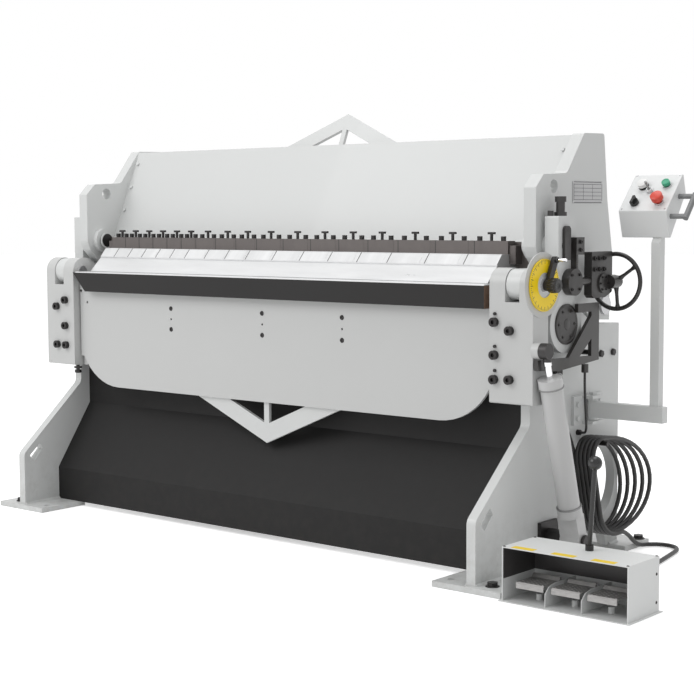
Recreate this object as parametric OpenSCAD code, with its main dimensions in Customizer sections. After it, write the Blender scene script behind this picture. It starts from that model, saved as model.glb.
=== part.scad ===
// Hydraulic sheet metal brake with segmented fingers.
// X runs along the machine, +X is the end with the dial and the controls.
// Y runs to the back, Z up, the floor is Z = 0.
// The origin is on the floor, in the middle of the four anchor holes.

/* [Bend line] */
// Length of the bend line, shared out among the fingers
bend_len = 1829; // [1500:1:2440]
// Distance of the fold axis in front of the anchor pattern's middle
axis_front = 211; // [205:1:218]
// Height of the fold axis above the floor
axis_z = 889; // [884:1:894]
// Gap between the end finger and the upper side plate
end_gap = 88; // [84:1:100]
// Gap between neighbouring fingers
seam = 0.6; // [0.3:0.1:1.5]
// Gap between the jaws when the leaf is down
jaw_gap = 1; // [0.6:0.1:2]

/* [Upper leaf] */
// Thickness of each upper side plate
upper_t = 44; // [36:1:46]
// Height of the top edge of the upper side plates
upper_top = 1353; // [1330:1:1380]
// Lean of the front sheet from the vertical
sheet_lean = 22.5; // [18:0.5:26]
// Thickness of the front sheet
sheet_t = 12; // [6:1:16]
// Thickness of the clamp beam's walls
beam_wall = 14; // [8:1:20]
// Width of the truss band above the leaf
truss_w = 51; // [30:1:70]
// Thickness of the truss bands
truss_t = 12; // [8:1:14]
// Radius of the lifting hole in each side plate
lift_hole_r = 21; // [12:1:28]
// Radius of the leaf hinge pins
hinge_pin_r = 20; // [14:1:26]

/* [Lift linkage] */
// Thickness of the side links
link_t = 48; // [40:1:54]
// Depth of the side links, front to back
link_w = 94; // [80:1:100]
// Radius of the pins at the top of the links
link_pin_r = 25; // [18:1:30]
// Outer radius of the ring at the bottom of each link
ring_r = 88; // [80:1:92]
// Bore radius of that ring
ring_bore_r = 56; // [55:1:62]
// Throw of the crank that lifts the leaf
throw_r = 40; // [34:1:40]
// Radius of the crank disc inside the ring
disc_r = 50; // [40:1:50]
// Radius of the cross shaft
shaft_r = 30; // [20:1:32]
// Length of the lever that turns the cross shaft
lever_r = 90; // [70:1:100]

/* [Lower frame] */
// Thickness of each end frame
frame_t = 32; // [24:1:34]
// Rear edge of the end frames
frame_rear = 345; // [335:1:360]
// Thickness of the foot plates
foot_t = 18; // [12:1:24]
// Distance of the anchor holes from the middle, along the machine
anchor_x = 937; // [925:1:950]
// Distance of the anchor holes from the middle, front and back
anchor_y = 426; // [415:1:430]
// Radius of the anchor holes
anchor_r = 11; // [7:0.5:12]
// Radius of the round access holes
access_r = 128; // [90:1:140]
// Thickness of the plates of the bed beam
bed_wall = 18; // [12:1:24]
// Thickness of the front panel
panel_t = 3; // [1.5:0.5:5]

/* [Apron] */
// Thickness of the apron plate
apron_t = 12; // [8:1:14]
// Height of the apron's lower edge
apron_bottom = 458; // [440:1:480]
// Depth of the stiffening bar on the apron
bar_t = 33; // [20:1:40]
// Radius of the apron's pivot pins
pivot_r = 20; // [14:1:26]
// Radius of the bracket ears round the pivot pins
ear_r = 50; // [48:1:52]
// Radius of the bearing noses on the end frames
nose_r = 47; // [40:1:47]
// Width of the slot between the ears
ear_slot = 51; // [50.5:0.5:54]

/* [Bend cylinder] */
// Outer radius of the cylinder tube
tube_r = 34; // [30:1:36]
// Inner radius of the cylinder tube
tube_bore_r = 28; // [22:1:28]
// Radius of the piston rod
piston_rod_r = 10; // [8:1:14]
// Distance of the rod eye from the fold axis
eye_reach = 196; // [190:1:200]
// Clearance of running fits, on the radius
run_clear = 0.05; // [0.02:0.01:0.1]

/* [Dial and controls] */
// Outer radius of the angle dial
dial_r = 78; // [60:1:84]
// Inner radius of the dial's yellow ring
dial_ring_r = 37; // [26:1:50]
// Outer radius of the index disc behind the dial
index_r = 98; // [86:1:98]
// Length of the angle stop lever
stop_len = 92; // [80:1:94]
// Outer radius of the handwheel
wheel_r = 93; // [70:1:93]
// Width of the control box
box_w = 163; // [140:1:180]
// Side of the square pendant post
post_w = 30; // [26:1:36]
// Height of the pendant arm's section
arm_h = 50; // [40:1:56]

/* [Pedal box] */
// Width of the pedal box
pedal_box_w = 408; // [360:1:440]
// Depth of the pedal box
pedal_box_d = 170; // [150:1:190]
// Height of the pedal box
pedal_box_h = 158; // [130:1:180]
// Sheet thickness of the pedal box
pedal_wall = 3; // [2:0.5:4]

/* [Control cable] */
// Diameter of the pedal cable
cable_d = 14; // [8:0.5:14]
// Turns of the hanging coil, past the first quarter
coil_turns = 5; // [2:1:6]
// Free space between neighbouring turns
coil_gap = 0.8; // [0.5:0.1:1.5]

/* [Hidden] */
$fn = 48;

paint = "#dcdedd";
paint_shade = "#bfc0bf";
black = "#333132";
bright = "#b9bcbe";
bronze = "#6f6968";
yellow = "#e8c800";

axis_y = -axis_front;
half_len = bend_len / 2;

// Stations along the machine, as distances from the middle
upper_x = half_len + end_gap;
upper_out = upper_x + upper_t;
frame_x = upper_x + 15.6;
frame_out = frame_x + frame_t;
link_x = upper_x + 59.6;
link_out = link_x + link_t;
nose_x = frame_x - 3.5;
nose_t = ear_slot - 3;
ear_in = nose_x + nose_t / 2 - ear_slot / 2;
ear_out = ear_in + ear_slot;
bracket_in = ear_in - 56;
bracket_out = ear_out + 48;

// Leaf hinge, link pin, cross shaft and crank places
hinge_y = 255;
hinge_z = 805;
link_pin_y = -76;
link_pin_z = 1003;
ring_z = 765;
crank_drop = 17.4;
shaft_y = link_pin_y + sqrt(throw_r * throw_r - crank_drop * crank_drop);
shaft_z = ring_z + crank_drop;
lever_angle = asin(crank_drop / throw_r);

// Jaws
bed_top = axis_z - jaw_gap / 2;
jaw_low = axis_z + jaw_gap / 2;
blade_y = axis_y - 1.5;
finger_back = -60;
finger_front = -100;
block_low = 975;
block_top = 1016;
rebate_y = -150;
rebate_z = 943.5;
nose_top_y = -158;
finger_widths = [3, 3, 3, 3, 3, 3, 4, 4, 4, 5, 5, 5, 5, 5, 6, 6, 6];

function sum_to(list, n) = n <= 0 ? 0 : list[n - 1] + sum_to(list, n - 1);
finger_unit = bend_len / sum_to(finger_widths, len(finger_widths));
function finger_edge(i) = -half_len + finger_unit * sum_to(finger_widths, i);

// Clamp beam
beam_low = 905;
beam_top = 1012;
beam_back = 60;
sheet_y = 14;
sheet_z = 1080;
sheet_top = upper_top - 7;
sheet_slope = tan(sheet_lean);
sheet_wide = sheet_t / cos(sheet_lean);

// Truss above the leaf, in its own leaning plane
truss_y = 183;
truss_z = 1349;
truss_apex = 120;
truss_end = 15.2;
truss_fall = (truss_apex - (beam_top - truss_z) / cos(sheet_lean) - truss_end) / upper_x;

// Apron
apron_front = -232;
apron_back = apron_front + apron_t;
apron_half = half_len + 37.6;
apron_arc = 219;
rail_low = 868;
bar_low = 815;
bar_top = 885;
bar_front = apron_front - bar_t;
bracket_front = -261;
bracket_low = 532;
bracket_back = -178;
end_plate_back = -166;
end_plate_in = half_len + 15.5;
slot_floor = axis_z - ear_r - 1;

// Bend cylinder, in the plane of the rod
cyl_x = bracket_out + 38;
cyl_foot = [-84, 105];
eye_polar = 258.5;
eye_at = [axis_y + eye_reach * cos(eye_polar), axis_z + eye_reach * sin(eye_polar)];
cyl_span = norm(eye_at - cyl_foot);
cyl_tilt = atan2(cyl_foot.x - eye_at.x, eye_at.y - cyl_foot.y);
tube_start = 85;
tube_end = 530;
eye_r = 24;

// Pivot stack on the right
dial_x = bracket_out + 4;
dial_t = 5;
stop_x = dial_x + 9;
stop_t = 12;
stop_angle = 63;

// Handwheel and gearbox on the right link
unit_x = link_out;
unit_t = 27;
wheel_x = upper_out + wheel_r + 3.6;
wheel_y = 163;
wheel_z = 887;
gear_front = 28;
gear_back = 150;

// Pendant
swivel = [frame_out + 28, 140];
arm_z = 457;
arm_end = swivel.x + 254;
post_x = swivel.x + 222;
box_x = post_x - 37.5 - box_w / 2;
box_side = [[110, 1107], [215, 1221], [232, 1161], [135, 1020]];
under_slope = (box_side[2].y - box_side[3].y) / (box_side[2].x - box_side[3].x);
panel_tilt = atan2(box_side[1].y - box_side[0].y, box_side[1].x - box_side[0].x);

// Pedal box
pedal_x = frame_out + 110.9;
pedal_y = -490;
pedal_centres = [82, 200, 317];
divider_at = [141, 259];
pedal_w = 92;
pedal_pivot = [pedal_y + pedal_box_d - 22, 40];

// Cable routes, millimetres, laid for an end frame whose outer face is at route_base; they
// move with the end frame
route_base = 1050.1;
function moved(route) = [for (p = route) [p.x + frame_out - route_base, p.y, p.z]];
riser_route = [
    [1072, -66, 600], [1072, -66, 560], [1070, -60, 530], [1067, -45, 500], [1064, -25, 470],
    [1061, 0, 440], [1059, 25, 412], [1058, 45, 380], [1058, 62, 345], [1058, 72, 305],
    [1058.5, 76.5, 270], [1058.5, 77.5, 237.3]
];
pedal_route = [
    [1136.2, 190.3, 80], [1136, 215, 80], [1134, 245, 76], [1130, 285, 60], [1126, 330, 34],
    [1124, 365, 14], [1127, 400, 8], [1142, 428, 8], [1170, 440, 8], [1202, 428, 8],
    [1232, 392, 8], [1254, 340, 8], [1272, 270, 8], [1288, 190, 8], [1297, 100, 8],
    [1300, 0, 8], [1300, -120, 8], [1300, -215, 9], [1300, -275, 20], [1300, -316.7, 24]
];
sensor_route = [
    [1126, 10, 612], [1126, 10, 580], [1124, 16, 545], [1119, 27, 505], [1113, 40, 465],
    [1107, 55, 430], [1100, 72, 410], [1088, 84, 406], [1075, 90, 408], [1062, 92, 410]
];
sensor_d = 8;
coil_top = [115, 394];
coil_bottom = [190, 80];
coil_front = 75;
coil_back = [170, 290];

// Small shapes used all over

function unit(v) = v / norm(v);

// One corner of an outline, rounded to radius r; a point is [across, up, radius]
function corner(a, b, c, r, steps) =
    r == 0 ? [b] :
    let (
        u = unit(a - b),
        w = unit(c - b),
        half = acos(u * w) / 2,
        centre = b + unit(u + w) * r / sin(half),
        p = b + u * r / tan(half) - centre,
        q = b + w * r / tan(half) - centre,
        start = atan2(p.y, p.x),
        turn = atan2(q.y, q.x) - start,
        sweep = turn > 180 ? turn - 360 : turn < -180 ? turn + 360 : turn
    )
    [for (i = [0:steps]) centre + r * [cos(start + sweep * i / steps), sin(start + sweep * i / steps)]];

function rounded(points, steps = 5) =
    let (n = len(points))
    [for (i = [0:n - 1])
        let (a = points[(i + n - 1) % n], b = points[i], c = points[(i + 1) % n])
        each corner([a.x, a.y], [b.x, b.y], [c.x, c.y], b.z, steps)];

// A bent strip of sheet: a path and the same path set off sideways
function side_of(a, b) = let (d = unit(b - a)) [-d.y, d.x];
function set_off(path, i, t) =
    i == 0 ? path[0] + t * side_of(path[0], path[1]) :
    i == len(path) - 1 ? path[i] + t * side_of(path[i - 1], path[i]) :
    let (n1 = side_of(path[i - 1], path[i]), m = unit(n1 + side_of(path[i], path[i + 1])))
    path[i] + m * t / (m * n1);
function strip(path, t) = concat(path, [for (i = [len(path) - 1:-1:0]) set_off(path, i, t)]);

// A profile in Y and Z, drawn out along X from x0
module along_x(x0, length) {
    translate([x0, 0, 0]) rotate([90, 0, 90]) linear_extrude(length) children();
}

// A profile in X and Z, drawn out along Y from y0
module along_y(y0, length) {
    translate([0, y0 + length, 0]) rotate([90, 0, 0]) linear_extrude(length) children();
}

module rod_x(x0, length, at, r) {
    translate([x0, at.x, at.y]) rotate([0, 90, 0]) cylinder(h = length, r = r);
}

module rod_y(y0, length, at, r) {
    translate([at.x, y0, at.y]) rotate([-90, 0, 0]) cylinder(h = length, r = r);
}

module rod_z(z0, length, at, r) {
    translate([at.x, at.y, z0]) cylinder(h = length, r = r);
}

module block(low, high) {
    translate(low) cube(high - low);
}

module both_ends() {
    children();
    mirror([1, 0, 0]) children();
}

module hex_bolt(head_r, head_h, shank_r, shank_l) {
    cylinder(h = head_h, r = head_r, $fn = 6);
    translate([0, 0, -shank_l]) cylinder(h = shank_l, r = shank_r);
}

module cap_screw(r, h) {
    difference() {
        cylinder(h = h, r = r);
        translate([0, 0, h / 2]) cylinder(h = h, r = r / 2, $fn = 6);
    }
}

// A tube swept along a list of points, six to twelve sides
function direction(path, i) =
    unit(path[min(i + 1, len(path) - 1)] - path[max(i - 1, 0)]);
function ring_at(path, i, r, sides) =
    let (
        d = direction(path, i),
        u = unit(cross(d, abs(d.x) > 0.9 ? [0, 0, 1] : [1, 0, 0])),
        w = cross(d, u)
    )
    [for (k = [0:sides - 1]) path[i] + r * (u * cos(360 * k / sides) + w * sin(360 * k / sides))];

module swept_tube(path, r, sides) {
    rings = len(path);
    points = [for (i = [0:rings - 1]) each ring_at(path, i, r, sides)];
    skin = [for (i = [0:rings - 2]) for (k = [0:sides - 1])
        let (a = i * sides + k, b = i * sides + (k + 1) % sides)
        each [[a, a + sides, b], [b, a + sides, b + sides]]];
    first = [for (k = [1:sides - 2]) [0, k, k + 1]];
    base = (rings - 1) * sides;
    last = [for (k = [1:sides - 2]) [base, base + k + 1, base + k]];
    polyhedron(points = points, faces = concat(skin, first, last), convexity = 10);
}

// Smooth points through a route, for the cables
function spline(p0, p1, p2, p3, t) =
    0.5 * (2 * p1 + (p2 - p0) * t + (2 * p0 - 5 * p1 + 4 * p2 - p3) * t * t
        + (3 * p1 - p0 - 3 * p2 + p3) * t * t * t);
function smooth(route, steps) =
    let (n = len(route) - 1)
    concat(
        [for (i = [0:n - 1]) for (k = [0:steps - 1])
            spline(route[max(i - 1, 0)], route[i], route[i + 1], route[min(i + 2, n)], k / steps)],
        [route[n]]);

// End frames: plate, bearing nose and foot plates
frame_top = [-109, 921];
frame_outline = [
    [-463, foot_t, 0], [-463, 210, 30], [-180, apron_bottom, 30], [-180, 520, 0], [-150, 527, 0],
    [-150, axis_z - nose_r, 8], [axis_y, axis_z - nose_r, 0], [axis_y, axis_z + nose_r, 0],
    [-125, axis_z + nose_r, 6], [frame_top.x, frame_top.y, 0], [182, 750, 12],
    [frame_rear, 744, 4], [frame_rear, foot_t, 0], [275, foot_t, 0], [255, foot_t + 52, 20],
    [-235, foot_t + 52, 20], [-255, foot_t, 0]
];
slot_outline = [[-389, 240, 4], [-375, 219, 4], [-419, 175, 4], [-437, 200, 4]];
access_at = [197, 238];

module end_frame() {
    difference() {
        union() {
            along_x(frame_x, frame_t) difference() {
                polygon(rounded(frame_outline));
                polygon(rounded(slot_outline, 3));
            }
            rod_x(nose_x, nose_t, [axis_y, axis_z], nose_r);
            block([nose_x, axis_y, axis_z - nose_r], [nose_x + nose_t, end_plate_back, axis_z + nose_r]);
            block([anchor_x - 34, -anchor_y - 53, 0], [frame_out + 98, -271, foot_t]);
            block([anchor_x - 32, 290, 0], [frame_out + 62, anchor_y + 22, foot_t]);
        }
        rod_x(nose_x - 1, nose_t + 2, [axis_y, axis_z], pivot_r);
        rod_x(frame_x - 1, frame_t + 2, [shaft_y, shaft_z], shaft_r + run_clear);
        rod_x(frame_x - 1, frame_t + 2, access_at, access_r);
        for (s = [-1, 1]) {
            rod_z(-1, foot_t + 2, [anchor_x, s * anchor_y], anchor_r);
            rod_z(-1, foot_t + 2, [frame_out + 35, s * anchor_y], bolt_r);
        }
    }
}
bolt_r = 10;

module end_frame_right() { color(paint_shade) end_frame(); }
module end_frame_left() { color(paint_shade) mirror([1, 0, 0]) end_frame(); }

// Bed beam under the bed rail: one bent plate, open below
bed_path = [[-148, 560], [-148, bed_top], [-62, bed_top], [40, 828], [40, 700]];
lever_x = 300;
lever_t = 16;

module bed_beam() {
    color(paint_shade) difference() {
        along_x(-frame_x, 2 * frame_x) polygon(strip(bed_path, -bed_wall));
        block([lever_x - 25, -25, 690], [lever_x + 65, 60, 900]);
    }
}

module bed_rail() {
    color(bright) along_x(-half_len, 2 * half_len) polygon([
        [axis_y + 1.5, bed_top], [axis_y + 1.5, bed_top - 22], [-165, bed_top - 66],
        [-148, bed_top - 66], [-148, bed_top]
    ]);
}

// Rear beam: a tube between the end frames, with ears for the leaf hinge, and the low tie
module rear_beam() {
    color(paint_shade) {
        difference() {
            union() {
                along_x(-frame_x, 2 * frame_x) difference() {
                    translate([205, 610]) square([125, 80]);
                    translate([213, 618]) square([109, 64]);
                }
                both_ends() along_x(upper_x - 30, 28) {
                    translate([hinge_y, hinge_z]) circle(40);
                    polygon([[215, 690], [215, hinge_z], [295, hinge_z], [295, 690]]);
                }
            }
            both_ends() rod_x(upper_x - 31, 30, [hinge_y, hinge_z], hinge_pin_r);
        }
        along_x(-frame_x, 2 * frame_x) difference() {
            translate([0, foot_t + 52]) square([110, 80]);
            translate([8, foot_t + 60]) square([94, 64]);
        }
    }
}

panel_path = [[-300, foot_t], [-300, 140], [-139, 375], [-139, 560]];
module front_panel() {
    color(black) along_x(-frame_x, 2 * frame_x) polygon(strip(panel_path, -panel_t));
}

// Power pack behind the front panel
tank_low = foot_t + 132;
tank_top = tank_low + 280;
module oil_tank() {
    color(paint_shade) {
        block([-500, -60, tank_low], [150, 250, tank_top - 8]);
        block([-510, -70, tank_top - 8], [160, 260, tank_top]);
        rod_z(tank_top, 40, [-460, 200], 28);
    }
}

motor_x = -420;
module pump_motor() {
    color(black) {
        rod_x(motor_x, 250, [95, tank_top + 92], 75);
        rod_x(motor_x + 250, 20, [95, tank_top + 92], 85);
        rod_x(motor_x - 40, 40, [95, tank_top + 92], 68);
        rod_x(motor_x + 270, 70, [95, tank_top + 92], 42);
        block([motor_x + 20, 35, tank_top], [motor_x + 220, 155, tank_top + 24]);
        block([motor_x + 80, 60, tank_top + 160], [motor_x + 170, 130, tank_top + 200]);
    }
}

module valve_block() {
    color(bright) {
        block([-40, 40, tank_top], [130, 150, tank_top + 80]);
        for (i = [0:2]) rod_y(150, 70, [-12 + 57 * i, tank_top + 44], 20);
        for (i = [0:2]) rod_y(0, 40, [-12 + 57 * i, tank_top + 44], 20);
    }
}

// Pins of the apron, of the right dial and of the leaf hinge
module pivot_pins() {
    color(bright) {
        mirror([1, 0, 0]) rod_x(bracket_in + 3, bracket_out - bracket_in - 3, [axis_y, axis_z], pivot_r);
        rod_x(bracket_in + 3, stop_x - bracket_in - 3, [axis_y, axis_z], pivot_r);
        rod_x(stop_x, stop_t + 2, [axis_y, axis_z], 12);
        both_ends() {
            rod_x(upper_x - 38, upper_t + 42, [hinge_y, hinge_z], hinge_pin_r);
            rod_x(upper_out + 0.5, 8, [hinge_y, hinge_z], hinge_pin_r + 10);
        }
    }
}

// Angle dial: a ring on a thin web, fixed on the pivot pin
module angle_dial() {
    color(yellow) translate([dial_x, axis_y, axis_z]) rotate([0, 90, 0]) rotate_extrude($fn = 96) polygon([
        [pivot_r, 0], [dial_r, 0], [dial_r, dial_t], [dial_ring_r, dial_t],
        [dial_ring_r, 2], [pivot_r, 2]
    ]);
}

// Switch frame outside the right end frame
switch_x = bracket_out + 8;
switch_t = 12;
switch_low = [[-264, 639], [-264, 670], [-38, 664], [82, 660], [82, 647], [-151, 629]];
switch_brace = [[-97, 662], [38, 787], [38, 716], [-37, 660]];
spacer_at = [[-120, 648], [60, 670], [60, 806]];
module switch_frame() {
    color(black) {
        along_x(switch_x, switch_t) {
            polygon(switch_low);
            polygon(switch_brace);
            translate([37, 650]) square([45, 170]);
            translate([-41, 799]) square([123, 26]);
        }
        rod_z(612, 26, [switch_x + 6, sensor_route[0].y], 11);
    }
}

// Pendant bracket with its swivel pin, on the right end frame
lug_t = 10;
lug_low = arm_z - 11;
lug_high = arm_z + arm_h + 10;
module pendant_bracket() {
    color(paint_shade) {
        block([frame_out, 55, lug_low - lug_t], [frame_out + 10, 230, lug_high + lug_t]);
        block([frame_out + 10, 105, lug_low - lug_t], [swivel.x + 20, 175, lug_low]);
        block([frame_out + 10, 105, lug_high], [swivel.x + 20, 175, lug_high + lug_t]);
        rod_z(lug_low, lug_high - lug_low, swivel, 9);
    }
    color(black) {
        translate([swivel.x, swivel.y, lug_high + lug_t]) cylinder(h = 9, r = 15, $fn = 6);
        for (p = [[75, 456], [75, 500], [210, 456], [210, 500]]) rod_x(frame_out + 10, 8, p, 9);
    }
}

// Levelling bolts, the coil's peg, the base pin of the bend cylinder, the cable entries and
// the spacers of the switch frame
riser_start = moved(riser_route)[0];
sensor_end = moved(sensor_route)[len(sensor_route) - 1];
pedal_end = moved(pedal_route)[len(pedal_route) - 1];
peg_r = cable_d / 2 + 0.7;
module frame_fasteners() {
    color(black) {
        both_ends() for (s = [-1, 1]) {
            translate([frame_out + 35, s * anchor_y, foot_t]) hex_bolt(17, 13, bolt_r, foot_t);
        }
        rod_x(frame_out, 92, [coil_top.x, coil_top.y - cable_d / 2 - 0.3 - peg_r], peg_r);
        rod_x(frame_out + 92, 6, [coil_top.x, coil_top.y - cable_d / 2 - 0.3 - peg_r], peg_r);
        block([frame_out, -134, 55], [frame_out + 12, -34, 155]);
        rod_x(frame_out + 12, cyl_x - tube_r - frame_out - 14, cyl_foot, 28);
        rod_x(cyl_x - tube_r - 2, 2 * tube_r + 4, cyl_foot, 14);
        rod_x(cyl_x + tube_r + 2, 10, cyl_foot, 22);
        block([frame_out, -82, 604], [frame_out + 34, -50, 640]);
        rod_z(600, 4, [riser_start.x, riser_start.y], 12);
        rod_x(frame_out, sensor_end.x - frame_out, [sensor_end.y, sensor_end.z], 9);
        rod_y(box_rear, 3.3, [pedal_end.x, pedal_end.z], 12);
        for (p = spacer_at) rod_x(frame_out, switch_x - frame_out, p, 8);
    }
}

// Clamp cylinder: tube on the low tie, rod up to the cross shaft's lever
ram_rod_r = 14;
ram_x = lever_x + lever_t + 0.5 + ram_rod_r;
ram_y = shaft_y + lever_r * cos(lever_angle);
ram_tube_top = 600;
ram_r = 30;
module clamp_cylinder() {
    color(paint_shade) difference() {
        union() {
            rod_z(foot_t + 132, ram_tube_top - foot_t - 132, [ram_x, ram_y], ram_r);
            rod_z(ram_tube_top - 24, 24, [ram_x, ram_y], ram_r + 6);
            block([ram_x - 45, ram_y - 38, foot_t + 132], [ram_x + 45, ram_y + 38, foot_t + 150]);
        }
        rod_z(385, ram_tube_top - 384, [ram_x, ram_y], ram_rod_r + run_clear);
    }
}

module clamp_rod() {
    color(bright) {
        rod_z(495, shaft_z + lever_r * sin(lever_angle) - 510, [ram_x, ram_y], ram_rod_r);
        rod_x(ram_x - ram_rod_r, 2 * ram_rod_r, [ram_y, shaft_z + lever_r * sin(lever_angle)], 22);
    }
}

// Pedal box: folded sheet, open at the front, with two low dividers and the pivot rod
box_right = pedal_x + pedal_box_w;
box_rear = pedal_y + pedal_box_d;
module pedal_box() {
    color(paint) {
        block([pedal_x - 8, pedal_y - 8, 0], [box_right + 8, box_rear + 8, pedal_wall]);
        block([pedal_x, pedal_y, pedal_box_h - pedal_wall], [box_right, box_rear, pedal_box_h]);
        for (x = [pedal_x, box_right - pedal_wall]) {
            block([x, pedal_y, pedal_wall], [x + pedal_wall, box_rear, pedal_box_h - pedal_wall]);
        }
        block([pedal_x + pedal_wall, box_rear - pedal_wall, pedal_wall],
            [box_right - pedal_wall, box_rear, pedal_box_h - pedal_wall]);
        for (d = divider_at) along_x(pedal_x + d - 1, 2) polygon([
            [pedal_y + 6, pedal_wall], [pedal_y + 6, 40], [pedal_y + 26, 58],
            [pedal_y + 60, 64], [box_rear - pedal_wall, 64], [box_rear - pedal_wall, pedal_wall]
        ]);
    }
    color(black) for (c = pedal_centres) {
        rod_x(pedal_x + c - pedal_w / 2 - 8, pedal_w + 16, pedal_pivot, 4);
        for (s = [-1, 1]) block(
            [pedal_x + c + s * (pedal_w / 2 + 5) - 3, pedal_pivot.x - 10, pedal_wall],
            [pedal_x + c + s * (pedal_w / 2 + 5) + 3, pedal_pivot.x + 10, pedal_pivot.y - 4]);
        rod_z(pedal_wall, 18, [pedal_x + c, pedal_y + 70], 9);
    }
}

// One pedal: a tread with a turned-down front lip, its hub on the pivot rod
module pedal(i) {
    tread_x = pedal_x + pedal_centres[i] - pedal_w / 2;
    color(bright) difference() {
        union() {
            along_x(tread_x, pedal_w) polygon([
                [pedal_y + 18, 40], [pedal_y + 18, 54], [pedal_y + 22, 58], [pedal_y + 100, 58],
                [pedal_y + 108, 68], [pedal_y + 112, 68], [pedal_y + 112, 58],
                [pedal_pivot.x, pedal_pivot.y + 8], [pedal_pivot.x, pedal_pivot.y - 4],
                [pedal_y + 100, 54], [pedal_y + 22, 54], [pedal_y + 22, 40]
            ]);
            rod_x(tread_x, pedal_w, pedal_pivot, 9);
        }
        rod_x(tread_x - 1, pedal_w + 2, pedal_pivot, 4 + run_clear);
    }
}
module pedal_left() { pedal(0); }
module pedal_middle() { pedal(1); }
module pedal_right() { pedal(2); }

handle_at = [pedal_x + 221, -380];
handle_h = 250;
module carry_handle() {
    color(black) {
        rod_z(pedal_box_h, 16, handle_at, 12);
        translate([handle_at.x, handle_at.y, pedal_box_h + 16]) rotate([0, 4, 0]) {
            cylinder(h = handle_h - 34, r = 7);
            translate([0, 0, handle_h - 16]) sphere(r = 20, $fn = 32);
        }
    }
}

// Cables
module cable_riser() {
    color(black) swept_tube(smooth(moved(riser_route), 3), cable_d / 2, 8);
}
module pedal_cable() {
    color(black) swept_tube(smooth(moved(pedal_route), 3), cable_d / 2, 8);
}
module sensor_cable() {
    color(black) swept_tube(smooth(moved(sensor_route), 3), sensor_d / 2, 8);
}

// The hanging coil: D shaped turns that all pass the peg at the top and the tie at the
// bottom, each a little wider than the one before it
coil_pitch = cable_d + coil_gap;
coil_x = moved(riser_route)[len(riser_route) - 1].x;
coil_length = coil_turns + 0.25;
coil_mid = (coil_top.y + coil_bottom.y) / 2;
coil_half = (coil_top.y - coil_bottom.y) / 2;
function coil_point(t) =
    let (
        a = 180 + 360 * t,
        reach = cos(a) > 0 ? coil_back[0] + (coil_back[1] - coil_back[0]) * t / coil_length : coil_front,
        rise = coil_half * sin(a),
        lean = (coil_top.x + coil_bottom.x) / 2 + (coil_top.x - coil_bottom.x) / 2 * sin(a)
    )
    [coil_x + coil_pitch * t, lean + reach * cos(a), coil_mid + rise];
coil_path = [for (i = [0:coil_length * 24]) coil_point(i / 24)];
module cable_coil() {
    color(black) swept_tube(coil_path, cable_d / 2, 6);
}
coil_space = min([for (i = [0:3:len(coil_path) - 1]) for (j = [i + 12:len(coil_path) - 1])
    norm(coil_path[i] - coil_path[j])]) - cable_d;
echo(least_gap_in_coil = coil_space);

// Upper side plates
upper_outline = [
    [-147, 1000, 8], [-141, 985, 4], [-133, 967, 10], [-101, 934, 6], [190, 762, 12], [289, 756, 0],
    [288, 819, 0], [302, 980, 12], [271, 1141, 12], [248, upper_top, 10],
    [127, upper_top - 2, 16], [27, 1225, 24], [-106, 1219, 6], [-147, 1180, 6]
];
lift_hole_at = [-47, 1183];
module upper_frame() {
    difference() {
        union() {
            along_x(upper_x, upper_t) polygon(rounded(upper_outline));
            rod_x(upper_x - 22, 22, [link_pin_y, link_pin_z], 45);
        }
        rod_x(upper_x - 30, upper_t + 32, [link_pin_y, link_pin_z], link_pin_r);
        rod_x(upper_x - 1, upper_t + 2, [hinge_y, hinge_z], hinge_pin_r + run_clear);
        rod_x(upper_x - 1, upper_t + 2, lift_hole_at, lift_hole_r);
    }
}
module upper_frame_right() { color(paint_shade) upper_frame(); }
module upper_frame_left() { color(paint_shade) mirror([1, 0, 0]) upper_frame(); }

// Leaning front sheet with its top flange, standing on the clamp beam
function sheet_at(z) = sheet_y + (z - sheet_z) * sheet_slope;
module front_sheet() {
    color(paint) along_x(-upper_x, 2 * upper_x) polygon([
        [sheet_at(beam_top), beam_top], [sheet_at(sheet_top), sheet_top],
        [sheet_at(sheet_top) + 40, sheet_top], [sheet_at(sheet_top) + 40, sheet_top - sheet_t],
        [sheet_at(sheet_top - sheet_t) + sheet_wide, sheet_top - sheet_t],
        [sheet_at(beam_top) + sheet_wide, beam_top]
    ]);
}

// Truss band behind the sheet, parallel to it, with its strut
band = truss_w / cos(atan(truss_fall));
module top_truss() {
    foot = (beam_top - truss_z) / cos(sheet_lean);
    color(paint_shade) translate([0, truss_y, truss_z]) rotate([-sheet_lean, 0, 0])
        along_y(0, truss_t) {
            intersection() {
                polygon([
                    [0, truss_apex], [upper_x, truss_apex - truss_fall * upper_x],
                    [upper_x, truss_apex - band - truss_fall * upper_x], [0, truss_apex - band],
                    [-upper_x, truss_apex - band - truss_fall * upper_x],
                    [-upper_x, truss_apex - truss_fall * upper_x]
                ]);
                translate([-upper_x, foot + truss_t * sheet_slope])
                    square([2 * upper_x, truss_apex - foot]);
            }
            translate([-10, foot + truss_t * sheet_slope])
                square([20, truss_apex - band / 2 - foot - truss_t * sheet_slope]);
        }
}

// Clamp beam: a box between the upper side plates
module clamp_beam() {
    color(bronze) difference() {
        along_x(-upper_x, 2 * upper_x) difference() {
            translate([finger_back, beam_low]) square([beam_back - finger_back, beam_top - beam_low]);
            translate([finger_back + beam_wall, beam_low + beam_wall])
                square([beam_back - finger_back - 2 * beam_wall, beam_top - beam_low - 2 * beam_wall]);
        }
        both_ends() rod_x(upper_x - 36, 44, [link_pin_y, link_pin_z], 45);
    }
}

module each_finger() {
    for (i = [0:len(finger_widths) - 1]) {
        $low = finger_edge(i) + seam / 2;
        $wide = finger_edge(i + 1) - finger_edge(i) - seam;
        children();
    }
}

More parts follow.
